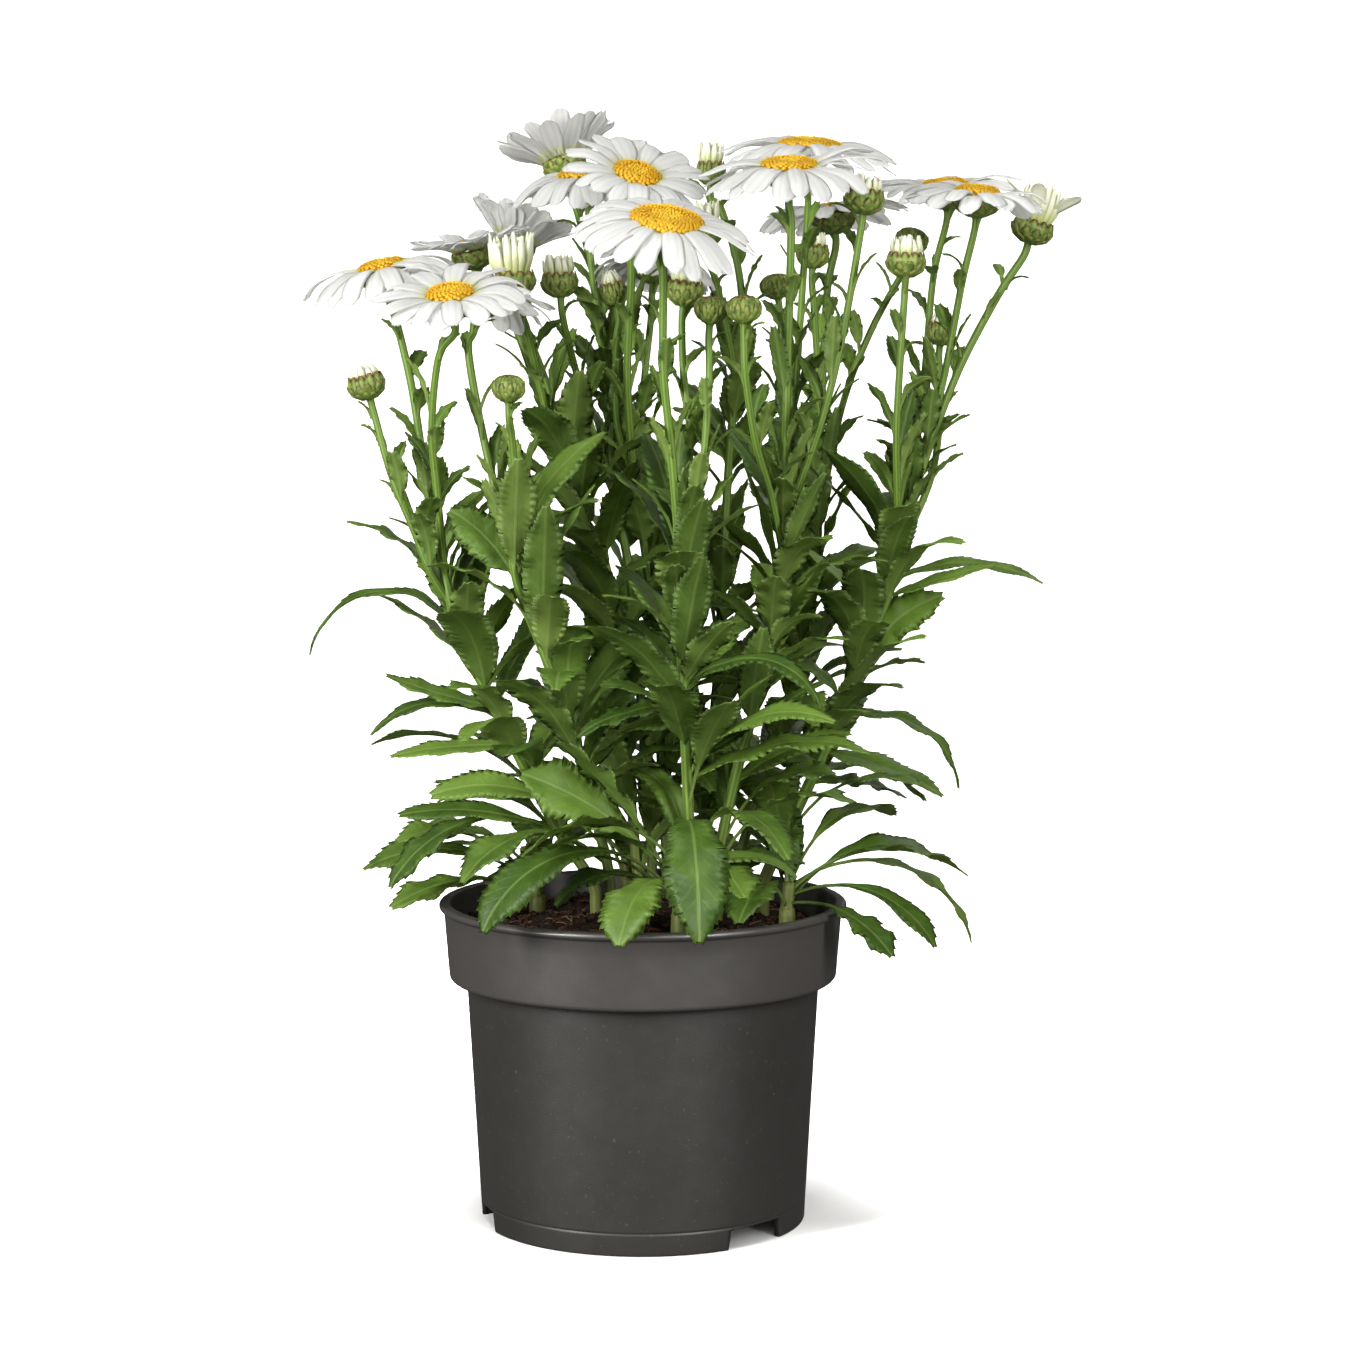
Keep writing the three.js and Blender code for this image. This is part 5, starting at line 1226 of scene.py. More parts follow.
def cut_away(piece, tools):
    """Cuts the tools out of a piece and removes them."""
    for tool in tools:
        cut = piece.modifiers.new(tool.name, "BOOLEAN")
        cut.object, cut.operation, cut.solver = tool, "DIFFERENCE", "EXACT"
    settled = bpy.context.evaluated_depsgraph_get()
    mesh = bpy.data.meshes.new_from_object(piece.evaluated_get(settled))
    piece.modifiers.clear()
    piece.data = mesh
    for tool in tools:
        bpy.data.objects.remove(tool)


def notch_tool(azimuth):
    """The wedge that a drainage gap in the foot ring is cut with."""
    low, high, deep = NOTCH_WIDTH_LOW / 2, NOTCH_WIDTH_HIGH / 2, NOTCH_HEIGHT
    side = [(low, -1), (high + 0.3, deep - 1), (high - 0.8, deep)]
    rim = [(-low, -1), *side, *((-x, z) for x, z in side[:0:-1])]
    rows = [[(FOOT_RADIUS + out, x, z) for x, z in rim] for out in (-12, 8)]
    turn = Matrix.Rotation(azimuth * DEGREE, 3, "Z")
    grid = np.array([[turn @ Vector(p) for p in row] for row in rows])
    shape = Shape()
    add_rings(shape, grid, grid[0].mean(axis=0), grid[1].mean(axis=0))
    return shape.make("notch_tool", [])


def drain_tool(angle):
    """The plug that a drain hole is cut with."""
    shape = Shape()
    grid = round_the_axis([(DRAIN_RADIUS, FLOOR_LOW - 4), (DRAIN_RADIUS, FLOOR_TOP + 3)], DRAIN_SIDES)
    grid = grid + [DRAIN_CIRCLE * math.cos(angle), DRAIN_CIRCLE * math.sin(angle), 0]
    add_rings(shape, grid, grid[0].mean(axis=0), grid[1].mean(axis=0))
    return shape.make("drain_tool", [])


def soil_height(x, y):
    """The mounded, crumbly top of the soil."""
    share = math.hypot(x, y) / INNER_RADIUS
    lump = noise.fractal(Vector((x / 24, y / 24, 3.1)), 0.9, 2.1, 5) * 2.4
    crumb = noise.noise(Vector((x / 2.2, y / 2.2, 7.7))) * 0.7
    return mix(SOIL_EDGE, SOIL_CROWN, 1 - share * share) + lump + crumb


def add_soil_body(shape):
    """Peat from the pot's floor up. Its top is a grid about 1 mm fine near the middle."""
    wall = INNER_RADIUS - SOIL_GAP
    low = [(FOOT_RADIUS - WALL - SOIL_GAP - 1, FLOOR_TOP + 0.4)]
    low += [(BODY_TOP_RADIUS - WALL - SOIL_GAP, COLLAR_LOW - WALL)]
    low += [(wall, COLLAR_LOW + 4.6), (wall, SOIL_EDGE - 6)]
    top = [(wall * share, 0) for share in np.linspace(1, 0.012, SOIL_RINGS)]
    grid = round_the_axis(low + top, SOIL_SIDES)
    for ring in grid[len(low) :]:
        for point in ring:
            point[2] = soil_height(point[0], point[1])
    add_rings(shape, grid, (0, 0, FLOOR_TOP + 0.4), (0, 0, soil_height(0, 0)))


def open_ground(draw, reach=84):
    """A place on the soil."""
    radius, angle = reach * math.sqrt(draw()), 2 * math.pi * draw()
    return radius * math.cos(angle), radius * math.sin(angle)


CHIP_RIM = ((-1, -0.5), (0, -0.62), (1, -0.35), (0.8, 0.5), (-0.2, 0.6), (-0.9, 0.4))
CHIP_POINTS = np.array([(*place, z) for z in (-0.5, 0.5) for place in CHIP_RIM])


def add_chips(shape, count, draw, finish):
    """Split chips of bark: flat, angular and tipped every way, half sunk in the peat."""
    sides = len(CHIP_RIM)
    walls, ends = ring_faces(2, sides)
    for _ in range(count):
        x, y = open_ground(draw)
        long = 2.2 + 5.5 * draw() ** 2
        turn = Matrix.Rotation(6.3 * draw(), 3, "Z") @ Matrix.Rotation(0.9 * (draw() - 0.5), 3, "X")
        turn = turn @ Matrix.Rotation(0.8 * (draw() - 0.5), 3, "Y")
        jag = np.array([[1 + 0.3 * (draw() - 0.5) for _ in range(3)] for _ in CHIP_POINTS])
        body = CHIP_POINTS * jag * [long, long * (0.45 + 0.4 * draw()), 0.9 + 1.2 * draw()]
        body = np.concatenate([body, [body[:sides].mean(axis=0)], [body[sides:].mean(axis=0)]])
        points = body @ np.array(turn.transposed()) + [x, y, soil_height(x, y) + 0.5]
        shape.add(points, [(walls, finish), (ends, finish)], tint=draw())


def add_crumbs(shape, count, draw, finish):
    """Crumbs of peat that lie loose on top."""
    rings = ((0.8, -0.5), (0.9, 0.35))
    ball = [(math.cos(a) * r, math.sin(a) * r, z) for r, z in rings for a in all_round(CRUMB_SIDES)]
    ball = np.array([*ball, (0, 0, -0.9), (0, 0, 0.85)])
    walls, ends = ring_faces(2, CRUMB_SIDES)
    for _ in range(count):
        x, y = open_ground(draw)
        size = 0.5 + 1.7 * draw() ** 3
        jag = np.array([[size * (1 + 0.5 * (draw() - 0.5)) for _ in range(3)] for _ in ball])
        place = [x, y, soil_height(x, y) + 0.35 * size]
        shape.add(ball * jag + place, [(walls, finish), (ends, finish)], tint=draw())


def add_fibres(shape, count, draw, finish):
    """Threads of root and moss that lie over the crumbs."""
    for _ in range(count):
        x, y = open_ground(draw, 80)
        heading, bend = 6.3 * draw(), 1.6 * (draw() - 0.5)
        step = (0.6 + 1.3 * draw()) * 1.2
        line = []
        for i in range(7):
            line.append((x, y, soil_height(x, y) + 0.55 + 0.5 * math.sin(i * 0.9 + 6 * draw() * 0.1)))
            x, y = x + step * math.cos(heading), y + step * math.sin(heading)
            heading += bend / 3
        add_rod(shape, np.array(line), 0.14 + 0.16 * draw(), FIBRE_SIDES, 0, finish, draw())


# ---- leaves and stems ----

# The places of the stem's and the cups' materials on a leafy stem. The leaf's two skins are 0 and 1.
STEM_SKIN, CUP_SKIN = 2, 3

LEAF_COLUMNS = np.array([-1, -0.62, -0.28, 0, 0.28, 0.62, 1])
TOOTH_PHASES = np.array([0, 0.55, 0.85])
TOOTH_WIDTHS = np.array([-0.035, 0.015, 0.08])
TOOTH_FORWARD = np.array([0, 0.1, 0.45])


def add_leaf(shape, leaf, look, draw):
    """A leaf and its stalk as one thin body: folded along a sunk midrib, waved, and toothed at the margin."""
    length, petiole = leaf["length"], leaf["petiole"]
    blade = length * (1 - petiole)
    # The blade has three rows of points a tooth, and the stalk one every 5 mm.
    teeth = max(4, round(blade / (look.tooth_pitch / MM * (0.72 + 0.28 * min(blade / 80, 1.2)))))
    v = np.append((np.arange(teeth)[:, None] + TOOTH_PHASES).ravel() / teeth, 1.0)
    stalk = max(2, round(petiole * length / 5))
    foot = np.linspace(-1.4 / length, petiole, stalk, endpoint=False)
    s = np.concatenate([foot, petiole + (1 - petiole) * v])
    v = np.concatenate([np.zeros(stalk), v])
    half = half_width(leaf, v) * (1 + 0.16 * np.sin(math.pi * np.clip((v - 0.5) / 0.5, 0, 1)))
    half[-1] = 0.35
    half[:stalk] *= 0.85
    sizes = np.array([0.45 + draw() for _ in range(teeth)])
    tooth = np.concatenate([np.ones(stalk), (1 + TOOTH_WIDTHS * sizes[:, None]).ravel(), [1]])
    forward = np.concatenate([np.zeros(stalk), np.tile(TOOTH_FORWARD, teeth), [0]]) * (1 - petiole) / teeth
    side = LEAF_COLUMNS * half[:, None]
    place = np.repeat(s[:, None], len(LEAF_COLUMNS), axis=1)
    for column in (0, -1):
        side[:, column] *= tooth
        place[:, column] += forward
    # The blade is folded up from its midrib, rippled, twisted towards its tip and turned down at its rim.
    span = np.abs(LEAF_COLUMNS)
    open_share = np.minimum(v * 6, 1)[:, None]
    fold = np.abs(side) * LEAF_FOLD * (0.75 + 0.5 * draw())
    waves = 1.6 + 2.4 * draw()
    wave_size = look.wave * (0.5 + draw())
    ripple = np.zeros_like(side)
    for columns in (slice(0, 3), slice(4, 7)):
        start = draw() * 2 * math.pi
        ripple[:, columns] = np.sin(v * waves * 2 * math.pi + start)[:, None]
    ripple *= wave_size * span**1.5 * half[:, None] * open_share
    twist = side * np.sin(24 * DEGREE * (draw() - 0.5) * v)[:, None]
    rim = -0.16 * span**3 * half[:, None] * open_share
    middle = fold + ripple + twist + rim
    # It is 1.5 mm thick at the stalk, 0.55 mm in the blade and thinner at the margin.
    thick = mix(1.5, 0.55, open_share) * (1 - 0.72 * span) / 2
    rib = (span < 0.1) * mix(0.15, 0.4, open_share) * (1 - 0.6 * v[:, None])
    # Its foot follows the smooth stem, and the rest stands where the solid's leaf does.
    fade = np.maximum(1 - np.maximum(place, 0) * length / 25, 0)[..., None] * leaf["shift"]
    top = leaf_point(leaf, place, side, middle + thick - rib) + fade
    under = leaf_point(leaf, place, side, middle - thick - 1.3 * rib) + fade
    add_sheet(shape, top, under, tint=draw(), along=place * length, across=side, edge=span[None])


def stalk_leaf(path, t, azimuth, start, end, length, width, roll):
    """A small leaf that sits on a stalk."""
    base = along(path, t)[0] + outward(azimuth) * (STALK_RADIUS - 0.3)
    return dict(base=base, azimuth=azimuth, start=start, end=end, length=length, width=width, roll=roll,
                petiole=1.5 / length, stalked=False, shift=np.zeros(3))


def add_dome(shape, head, profile, sides, ends, finish=0, **values):
    """A closed round body on a head's axis, from radius and height and the heights of its two ends."""
    grid = on_head(head, profile[:, :1], all_round(sides)[None], profile[:, 1:])
    low, high = (on_head(head, 0, 0, height) for height in ends)
    add_rings(shape, grid, low, high, finish, **values)


# A cup's rim, as shares of its radius with heights in millimetres. A closed bud has a dome instead,
# whose heights are shares too.
CUP_RIMS = {"bloom": ((0.98, -1.3), (0.94, -0.35)), "tuft": ((1, -1.6), (0.93, 0.3), (0.84, 1.2))}
BUD_DOME = ((0.92, 0.1), (0.7, 0.3), (0.42, 0.42), (0.12, 0.47))


def bowl_profile(head):
    """The cup's outline from the neck up, as radius and height."""
    cup, kind = head["cup"], head["kind"]
    foot, lift, belly = (0.42, 0.4, 0.76) if kind == "closed" else (0.5, 0, 0.8)
    low = [(NECK_RADIUS - 0.3, -CUP_DEPTH - 1.2), (foot * cup, lift - CUP_DEPTH)]
    low += [(belly * cup, -5.9), (0.95 * cup, -3.8)]
    if kind == "closed":
        return low + [(cup, -1.4)] + [(share * cup, height * cup) for share, height in BUD_DOME]
    return low + [(share * cup, height) for share, height in CUP_RIMS[kind]]


# Rows of scales: where each starts and ends on the cup's outline, and how far it stands out.
BRACT_ROWS = {
    "bloom": ((0.05, 0.52, 0.75), (0.2, 0.8, 0.5), (0.4, 1.02, 0.25)),
    "tuft": ((0.05, 0.48, 0.75), (0.18, 0.76, 0.5), (0.34, 1.1, 0.25)),
    "closed": ((0.04, 0.4, 0.8), (0.16, 0.62, 0.6), (0.32, 0.84, 0.4), (0.5, 1.0, 0.25)),
}
BRACTS = 11
BRACT_OUTLINE = np.array([0.7, 0.98, 1.0, 0.82, 0.3])


def add_cup(shape, head, draw):
    """The cup under a head: a bowl, and rows of scales that lie over each other like tiles."""
    profile = np.array(bowl_profile(head))
    add_dome(shape, head, profile, CUP_SIDES, profile[[0, -1], 1], CUP_SKIN, tint=draw(), edge=0.3)
    lengths = run_length(profile)
    share = lengths / lengths[-1]
    columns = np.array([-1, 0, 1])
    for row, (start, end, proud) in enumerate(BRACT_ROWS[head["kind"]]):
        for k in range(BRACTS):
            u = np.linspace(start, end + 0.05 * (draw() - 0.5), 5)
            radius, height = np.interp(u, share, profile[:, 0]), np.interp(u, share, profile[:, 1])
            over = np.maximum(u - 1, 0) * lengths[-1]
            ahead = [np.interp(u + 0.04, share, values) for values in profile.T]
            way = unit(np.stack([ahead[0] - radius, ahead[1] - height + 1e-3], axis=-1))
            outer = (radius + proud * way[:, 1], height - proud * way[:, 0] + over)
            reach = np.maximum(outer[0], 1.2)
            wide = 0.66 * 2 * math.pi * 0.86 * head["cup"] / BRACTS * BRACT_OUTLINE
            turn = (k + 0.5 * (row % 2) + 0.2 * (draw() - 0.5)) / BRACTS * 2 * math.pi
            around = turn - columns[None] * (wide / reach)[:, None]
            arch = np.array([-0.3, 0.28, -0.3])[None]
            top = on_head(head, outer[0][:, None] + arch, around, outer[1][:, None])
            under = on_head(head, outer[0][:, None] + arch - 0.35, around, outer[1][:, None])
            edge = np.maximum(np.abs(columns)[None] * 0.95, (np.linspace(0, 1, 5) ** 3 * 0.9)[:, None])
            add_sheet(shape, top, under, (CUP_SKIN, CUP_SKIN), tint=draw(), edge=edge, along=start)


def rod_line(path):
    """Points about every 4 mm on the smooth line, and the share of the line at which each is."""
    length = run_length(along(path, np.linspace(0, 1, 60)))[-1]
    t = np.linspace(0, 1, max(6, round(length / 4)))
    return along(path, t), t


EXTRA_TURNS = (0, 18, -18, 40, -40, 70, -70)


def more_leaves(stem, index, heads, room):
    """Leaves between the first ones and up the stalks, where there is room."""
    searches = [(stem, wish) for wish in extra_wishes(stem, index)]
    for head in heads:
        if head["stem"] is not stem:
            continue
        twig, low = stem, stem["leaves"]["high"] + 4
        if head["order"]:
            twig = dict(stem, path=head["path"], sections=STALK_SECTIONS, radius=STALK_RADIUS)
            low = head["path"][0][2] + 14
        high = head["at"][2] - 26
        searches += [(twig, wish) for wish in stalk_wishes(low, high, 1201 + 13 * head["id"])]
    found = [grow(room, twig, wish, EXTRA_TURNS, (1, 0.75), (0, 12), least=1.5) for twig, wish in searches]
    return [leaf for leaf in found if leaf]


# A stalk's ribs, and a length past the stem's brown foot that it is coloured from.
RIB_DEPTH = 0.07
PAST_FOOT = 120
# A stalk's radius at shares of its length: thin where it forks off, and wide at its neck.
STALK_TAPER = (0, 0.12, 0.9, 1), (1.3, STALK_RADIUS - 0.15, STALK_RADIUS - 0.2, NECK_RADIUS - 0.1)


def add_leafy_stem(shape, stem, heads, extras, look, draw):
    """A stem with its stalks, cups, closed buds and leaves."""
    own = [head for head in heads if head["stem"] is stem]
    line, t = rod_line(stem["path"])
    radius = stem_radius(stem, t)
    if own:
        radius = np.maximum(radius, np.interp(t, [0.975, 1], [0, NECK_RADIUS - 0.1]))
    add_rod(shape, line, radius, ROD_SIDES, RIB_DEPTH, STEM_SKIN, draw())
    for head in own:
        if head["order"]:
            line, t = rod_line(head["path"])
            radius = np.interp(t, *STALK_TAPER)
            add_rod(shape, line, radius, ROD_SIDES, RIB_DEPTH, STEM_SKIN, draw(), PAST_FOOT)
        add_cup(shape, head, draw)
        path = head["path"][-3:]
        for share in (0.1, 0.55):
            leaf = stalk_leaf(path, share + 0.2 * (draw() - 0.5), 360 * draw(), 70, -30 + 80 * draw(),
                              8 + 8 * draw(), 3 + 1.4 * draw(), 40 * (draw() - 0.5))
            add_leaf(shape, leaf, look, draw)
    for leaf in stem["grown"] + extras:
        add_leaf(shape, leaf, look, draw)


# ---- blooms and buds ----

PETAL_COLUMNS = np.array([-1, -0.66, -0.34, 0, 0.34, 0.66, 1])
TIP_TEETH = np.array([-0.06, 0.0, -0.022, 0.006, -0.022, 0.0, -0.06])
PETAL_GROOVES = np.array([0.0, 0.5, -1.0, 0.5, -1.0, 0.5, 0.0])


def add_petal(shape, head, petal, look, draw):
    """A ray petal: narrow at its root, arched across, with two grooves and a toothed, blunt tip."""
    length = petal["length"]
    s = np.concatenate([np.linspace(-3 / length, 0.8, 11), [0.88, 0.94, 0.98, 1.0]])
    # Narrow at the root, full from 0.4 of the length on, and rounded off past 0.74.
    swell = np.clip(s / 0.4, 0, 1)
    outline = 0.6 + 0.4 * swell * swell * (3 - 2 * swell)
    outline *= np.sqrt(1 - 0.8 * np.clip((s - 0.74) / 0.26, 0, 1) ** 2.4)
    half = petal["width"] / 2 * outline
    tip = np.clip((s - 0.86) / 0.14, 0, 1)[:, None]
    place = s[:, None] + tip * TIP_TEETH * (0.5 + draw())
    side = PETAL_COLUMNS * half[:, None] + (3 * (draw() - 0.5) * np.clip(s, 0, 1) ** 2)[:, None]
    arch = petal["width"] * 0.11 * (1 - PETAL_COLUMNS**2) * (0.2 + 1.2 * draw())
    flat = np.clip(s, 0, 1)[:, None]
    relief = PETAL_GROOVES * look.groove_depth / MM * np.clip(s * 5, 0, 1)[:, None]
    twist = PETAL_COLUMNS * half[:, None] * np.sin(34 * DEGREE * (draw() - 0.5)) * flat
    buckle = 0.8 * np.sin(flat * (4 + 3 * draw()) + 6 * draw()) * flat
    middle = arch + relief + twist + buckle
    thick = 0.2 * (1 - 0.6 * np.abs(PETAL_COLUMNS))
    top = petal_point(head, petal, place, side, middle + thick)
    under = petal_point(head, petal, place, side, middle - thick)
    add_sheet(shape, top, under, (0, 0), tint=draw(), along=flat, edge=np.abs(PETAL_COLUMNS)[None])


def rays_of(head, count, width, draw):
    """More petals than the solid has, between its petals and in the same two layers."""
    rays = []
    for k in range(count):
        place = k / count * PETALS
        i = int(place)
        a, b = head["petals"][i], head["petals"][(i + 1) % PETALS]
        if not a and not b:
            continue
        a, b = a or b, b or a
        share = place - i
        ray = {key: mix(a[key], b[key], share) for key in ("length", "lift", "curl", "root")}
        layer = k % 2
        ray["angle"] = (k + 0.5 * (draw() - 0.5)) / count * 2 * math.pi
        ray["height"] = 0.9 + 0.9 * layer
        ray["lift"] += 6 + 4.5 * (layer - 0.5) + 9 * (draw() - 0.5)
        ray["curl"] += -6 + 18 * (draw() - 0.5)
        ray["length"] *= 0.96 + 0.07 * draw()
        ray["width"] = width * (0.86 + 0.3 * draw())
        rays.append(ray)
    return rays


def floret_forms():
    """An open floret, whose mouth flares and sinks, and a closed one."""
    def rings(rows, low, high):
        grid = [(r * math.cos(a), r * math.sin(a), z) for r, z in rows for a in all_round(FLORET_SIDES)]
        return np.array([*grid, (0, 0, low), (0, 0, high)], float)

    opened = rings(((0.42, -0.4), (0.4, 0.7), (0.78, 1.15)), -0.5, 0.7)
    closed = rings(((0.5, -0.3), (0.55, 0.5)), -0.4, 1.0)
    return (opened, 3), (closed, 2)


def disc_bed(share):
    """The height of the bed that the florets stand on, over the petals' ring."""
    return np.interp(share, [0, 0.35, 0.6, 0.84, 1], [2.3, 2.6, 2.4, 1.6, 0.4])


def add_disc(shape, head, look, draw):
    """The disc: a low dome set with florets in the spirals of a daisy."""
    radius = head["disc"]
    shares = np.array([0.97, 0.84, 0.6, 0.35, 0.12])
    profile = np.array([(0.7, -0.4), (0.97, -0.1)] + [(s, v) for s, v in zip(shares, disc_bed(shares))])
    add_dome(shape, head, profile * [radius, 1] + [0, DISC_BED], DISC_SIDES, (DISC_BED - 0.4, DISC_BED + 2.3),
             tint=0.3, across=profile[:, :1])
    axis, right, back = head_frame(head)
    count = round(look.florets * (radius / 13) ** 2)
    k = np.arange(count)
    share = np.sqrt((k + 0.5) / count)
    turn = k * GOLDEN_ANGLE * DEGREE + head["id"]
    radial = np.cos(turn)[:, None] * right + np.sin(turn)[:, None] * back
    around = np.cross(axis, radial)
    # The outer florets lean out from the disc's middle.
    tip_out = (share**2 * 52 * DEGREE)[:, None]
    up = axis * np.cos(tip_out) + radial * np.sin(tip_out)
    jitter = np.array([[draw(), draw(), draw()] for _ in k])
    places = on_head(head, share * radius * 0.985, turn, DISC_BED + disc_bed(share)) + (jitter - 0.5) * 0.35
    pitch = radius * math.sqrt(math.pi / count)
    is_open = share > look.open_from
    for (points, rows), kept in zip(floret_forms(), (is_open, ~is_open)):
        if not kept.any():
            continue
        size = pitch * (0.62 + 0.2 * share[kept]) * (0.85 + 0.3 * jitter[kept, 0])
        axes = np.stack([np.cross(around[kept], up[kept]), around[kept], up[kept]], axis=1)
        frames = axes * size[:, None, None]
        tall = np.interp(points[:, 2], [-0.4, 1.1], [0.15, 1])
        add_copies(shape, points, ring_faces(rows, FLORET_SIDES), frames, places[kept],
                   tint=jitter[kept, 1:2], along=tall[None], across=share[kept][:, None])


STRIP_OUTLINE = np.array([0.7, 0.9, 1, 1, 0.97, 0.9, 0.76, 0.55, 0.2])


def add_tuft(shape, head, look, draw):
    """The petals of an opening bud: rolled strips that stand in two rings, some curled in at the tip."""
    spread = head["tall"] * math.tan(head["splay"] * DEGREE)
    columns = np.array([-1, -0.5, 0, 0.5, 1])
    u = np.linspace(0, 1, 9)
    for ring, (share, tall_share) in enumerate(((1.0, 1.0), (0.74, 0.96))):
        count = head["count"] + 3
        for k in range(count):
            tall = head["tall"] * tall_share * (0.82 + 0.3 * draw())
            radius = head["size"] * np.interp(u, [0, 0.4, 1], [0.66, 0.84, 0.7]) * share + spread * u * share
            radius = radius + 3.2 * (draw() - 0.62) * u * u * min(1, head["tall"] / 12)
            wide = 0.72 * 2 * math.pi * 0.76 * head["size"] * share / count
            wide = wide * (1 + 0.6 * spread / head["size"]) * STRIP_OUTLINE
            turn = (k + 0.5 * ring + 0.4 * (draw() - 0.5)) / count * 2 * math.pi
            turn = turn + 0.12 * (draw() - 0.5) * u[:, None]
            around = turn - columns[None] * (wide / radius)[:, None]
            roll = -0.62 * wide[:, None] * columns[None] ** 2
            height = (tall * u)[:, None] + 0.2
            top = on_head(head, radius[:, None] + roll + 0.22, around, height)
            under = on_head(head, radius[:, None] + roll - 0.22, around, height)
            add_sheet(shape, top, under, (0, 0), tint=draw(), along=u[:, None], edge=np.abs(columns)[None])
    for k in range(head.get("open", 0)):
        angle = (k + 0.5) / head["open"] * 2 * math.pi
        petal = dict(angle=angle, root=head["size"] * 0.3, height=1.7, lift=62, curl=24,
                     length=head["tall"] * 1.25, width=7.4)
        add_petal(shape, head, petal, look, draw)
    top = head["tall"]
    heart = np.array([(0.5, 0.3), (0.62, 0.3 * top), (0.4, 0.46 * top), (0.15, 0.52 * top)])
    add_dome(shape, head, heart * [head["size"], 1], HEART_SIDES, (0.2, 0.53 * top), along=0.2, edge=0.2)


# ---- what a user may change ----


def length_of(label, description, millimetres):
    return bpy.props.FloatProperty(name=label, description=description, default=millimetres * MM,
                                   min=0, unit="LENGTH")


def colour_of(label, description, code):
    return bpy.props.FloatVectorProperty(name=label, description=description, default=srgb(code),
                                         size=3, min=0, max=1, subtype="COLOR")


def share_of(label, description, value):
    return bpy.props.FloatProperty(name=label, description=description, default=value,
                                   min=0, max=1, subtype="FACTOR")


def count_of(label, description, number, least=0):
    return bpy.props.IntProperty(name=label, description=description, default=number, min=least)


def power_of(label, description, watts):
    return bpy.props.FloatProperty(name=label, description=description, default=watts, min=0, unit="POWER")


class PotLook(bpy.types.PropertyGroup):
    lip_bead: length_of("Lip bead", "Radius of the rolled lip", 1.7)
    collar_round: length_of("Collar corner", "Rounding of the collar's lower corner", 2.4)
    seam_height: length_of("Seam height", "Height of the mould's parting line over the foot", 10.5)
    colour: colour_of("Plastic", "Colour of the moulded plastic", "2b2926")
    worn_colour: colour_of("Dusty plastic", "Colour where the plastic is dusty", "2e2c29")
    collar_colour: colour_of("Rubbed plastic", "Colour of the collar, where the plastic is rubbed", "3d3a37")
    roughness: share_of("Roughness", "Roughness of the moulded grain", 0.44)


class SoilLook(bpy.types.PropertyGroup):
    chips: count_of("Bark chips", "Number of bark chips on top", 70)
    crumbs: count_of("Crumbs", "Number of loose crumbs of peat", 700)
    fibres: count_of("Fibres", "Number of loose fibres", 240)
    peat_colour: colour_of("Damp peat", "Colour of damp peat", "18110c")
    dry_peat_colour: colour_of("Dry peat", "Colour of the drier crumbs", "3a281c")
    fibre_colour: colour_of("Fibre", "Colour of the fibres", "7a5638")
    bark_colour: colour_of("Bark", "Colour of the bark chips", "6b4124")


class LeafLook(bpy.types.PropertyGroup):
    tooth_pitch: length_of("Tooth pitch", "Distance between the teeth of a long leaf", 4.0)
    wave: share_of("Wave", "How much the blade waves, as a share of its half width", 0.12)
    colour: colour_of("Lit green", "Colour of young leaves", "6f8e38")
    shade: colour_of("Deep green", "Colour of old leaves", "375219")
    vein_colour: colour_of("Veins", "Colour of the midrib and veins", "a3b96a")
    under_colour: colour_of("Underside", "Colour of the underside", "7f964a")
    under_shade: colour_of("Deep underside", "Colour of an old leaf's underside", "55702e")
    roughness: share_of("Roughness", "Roughness of the waxy skin", 0.46)
    stem_colour: colour_of("Stem ribs", "Colour of the stem's ribs", "809b41")
    furrow_colour: colour_of("Stem furrows", "Colour between the stem's ribs", "597730")
    margin_colour: colour_of("Bract margin", "Colour of the dry margin of the cup's scales", "77502e")


class PetalLook(bpy.types.PropertyGroup):
    petals: count_of("Petals", "Number of ray petals in a bloom", 22, 8)
    width: length_of("Width", "Greatest width of a ray petal", 10.4)
    groove_depth: length_of("Groove depth", "Depth of the two grooves", 0.13)
    colour: colour_of("White", "Colour of the petals", "dfdfdd")
    groove_colour: colour_of("Grooves", "Colour in the grooves", "b4b5b3")


class DiscLook(bpy.types.PropertyGroup):
    florets: count_of("Florets", "Number of florets in a disc 26 mm across", 230, 20)
    open_from: share_of("Open from", "Share of the disc's radius inside which the florets are closed", 0.5)
    colour: colour_of("Open florets", "Colour of the open florets", "e3b00e")
    bud_colour: colour_of("Closed florets", "Colour of the closed florets", "cdb01f")
    depth_colour: colour_of("Between florets", "Colour deep between the florets", "c08d0a")


class BudLook(bpy.types.PropertyGroup):
    foot_colour: colour_of("Foot", "Colour of the rolled petals low down", "c0ca7e")
    tip_colour: colour_of("Tip", "Colour of the rolled petals at the tip", "eceed2")
    groove_depth: length_of("Groove depth", "Depth of the grooves of the petals that have opened", 0.16)


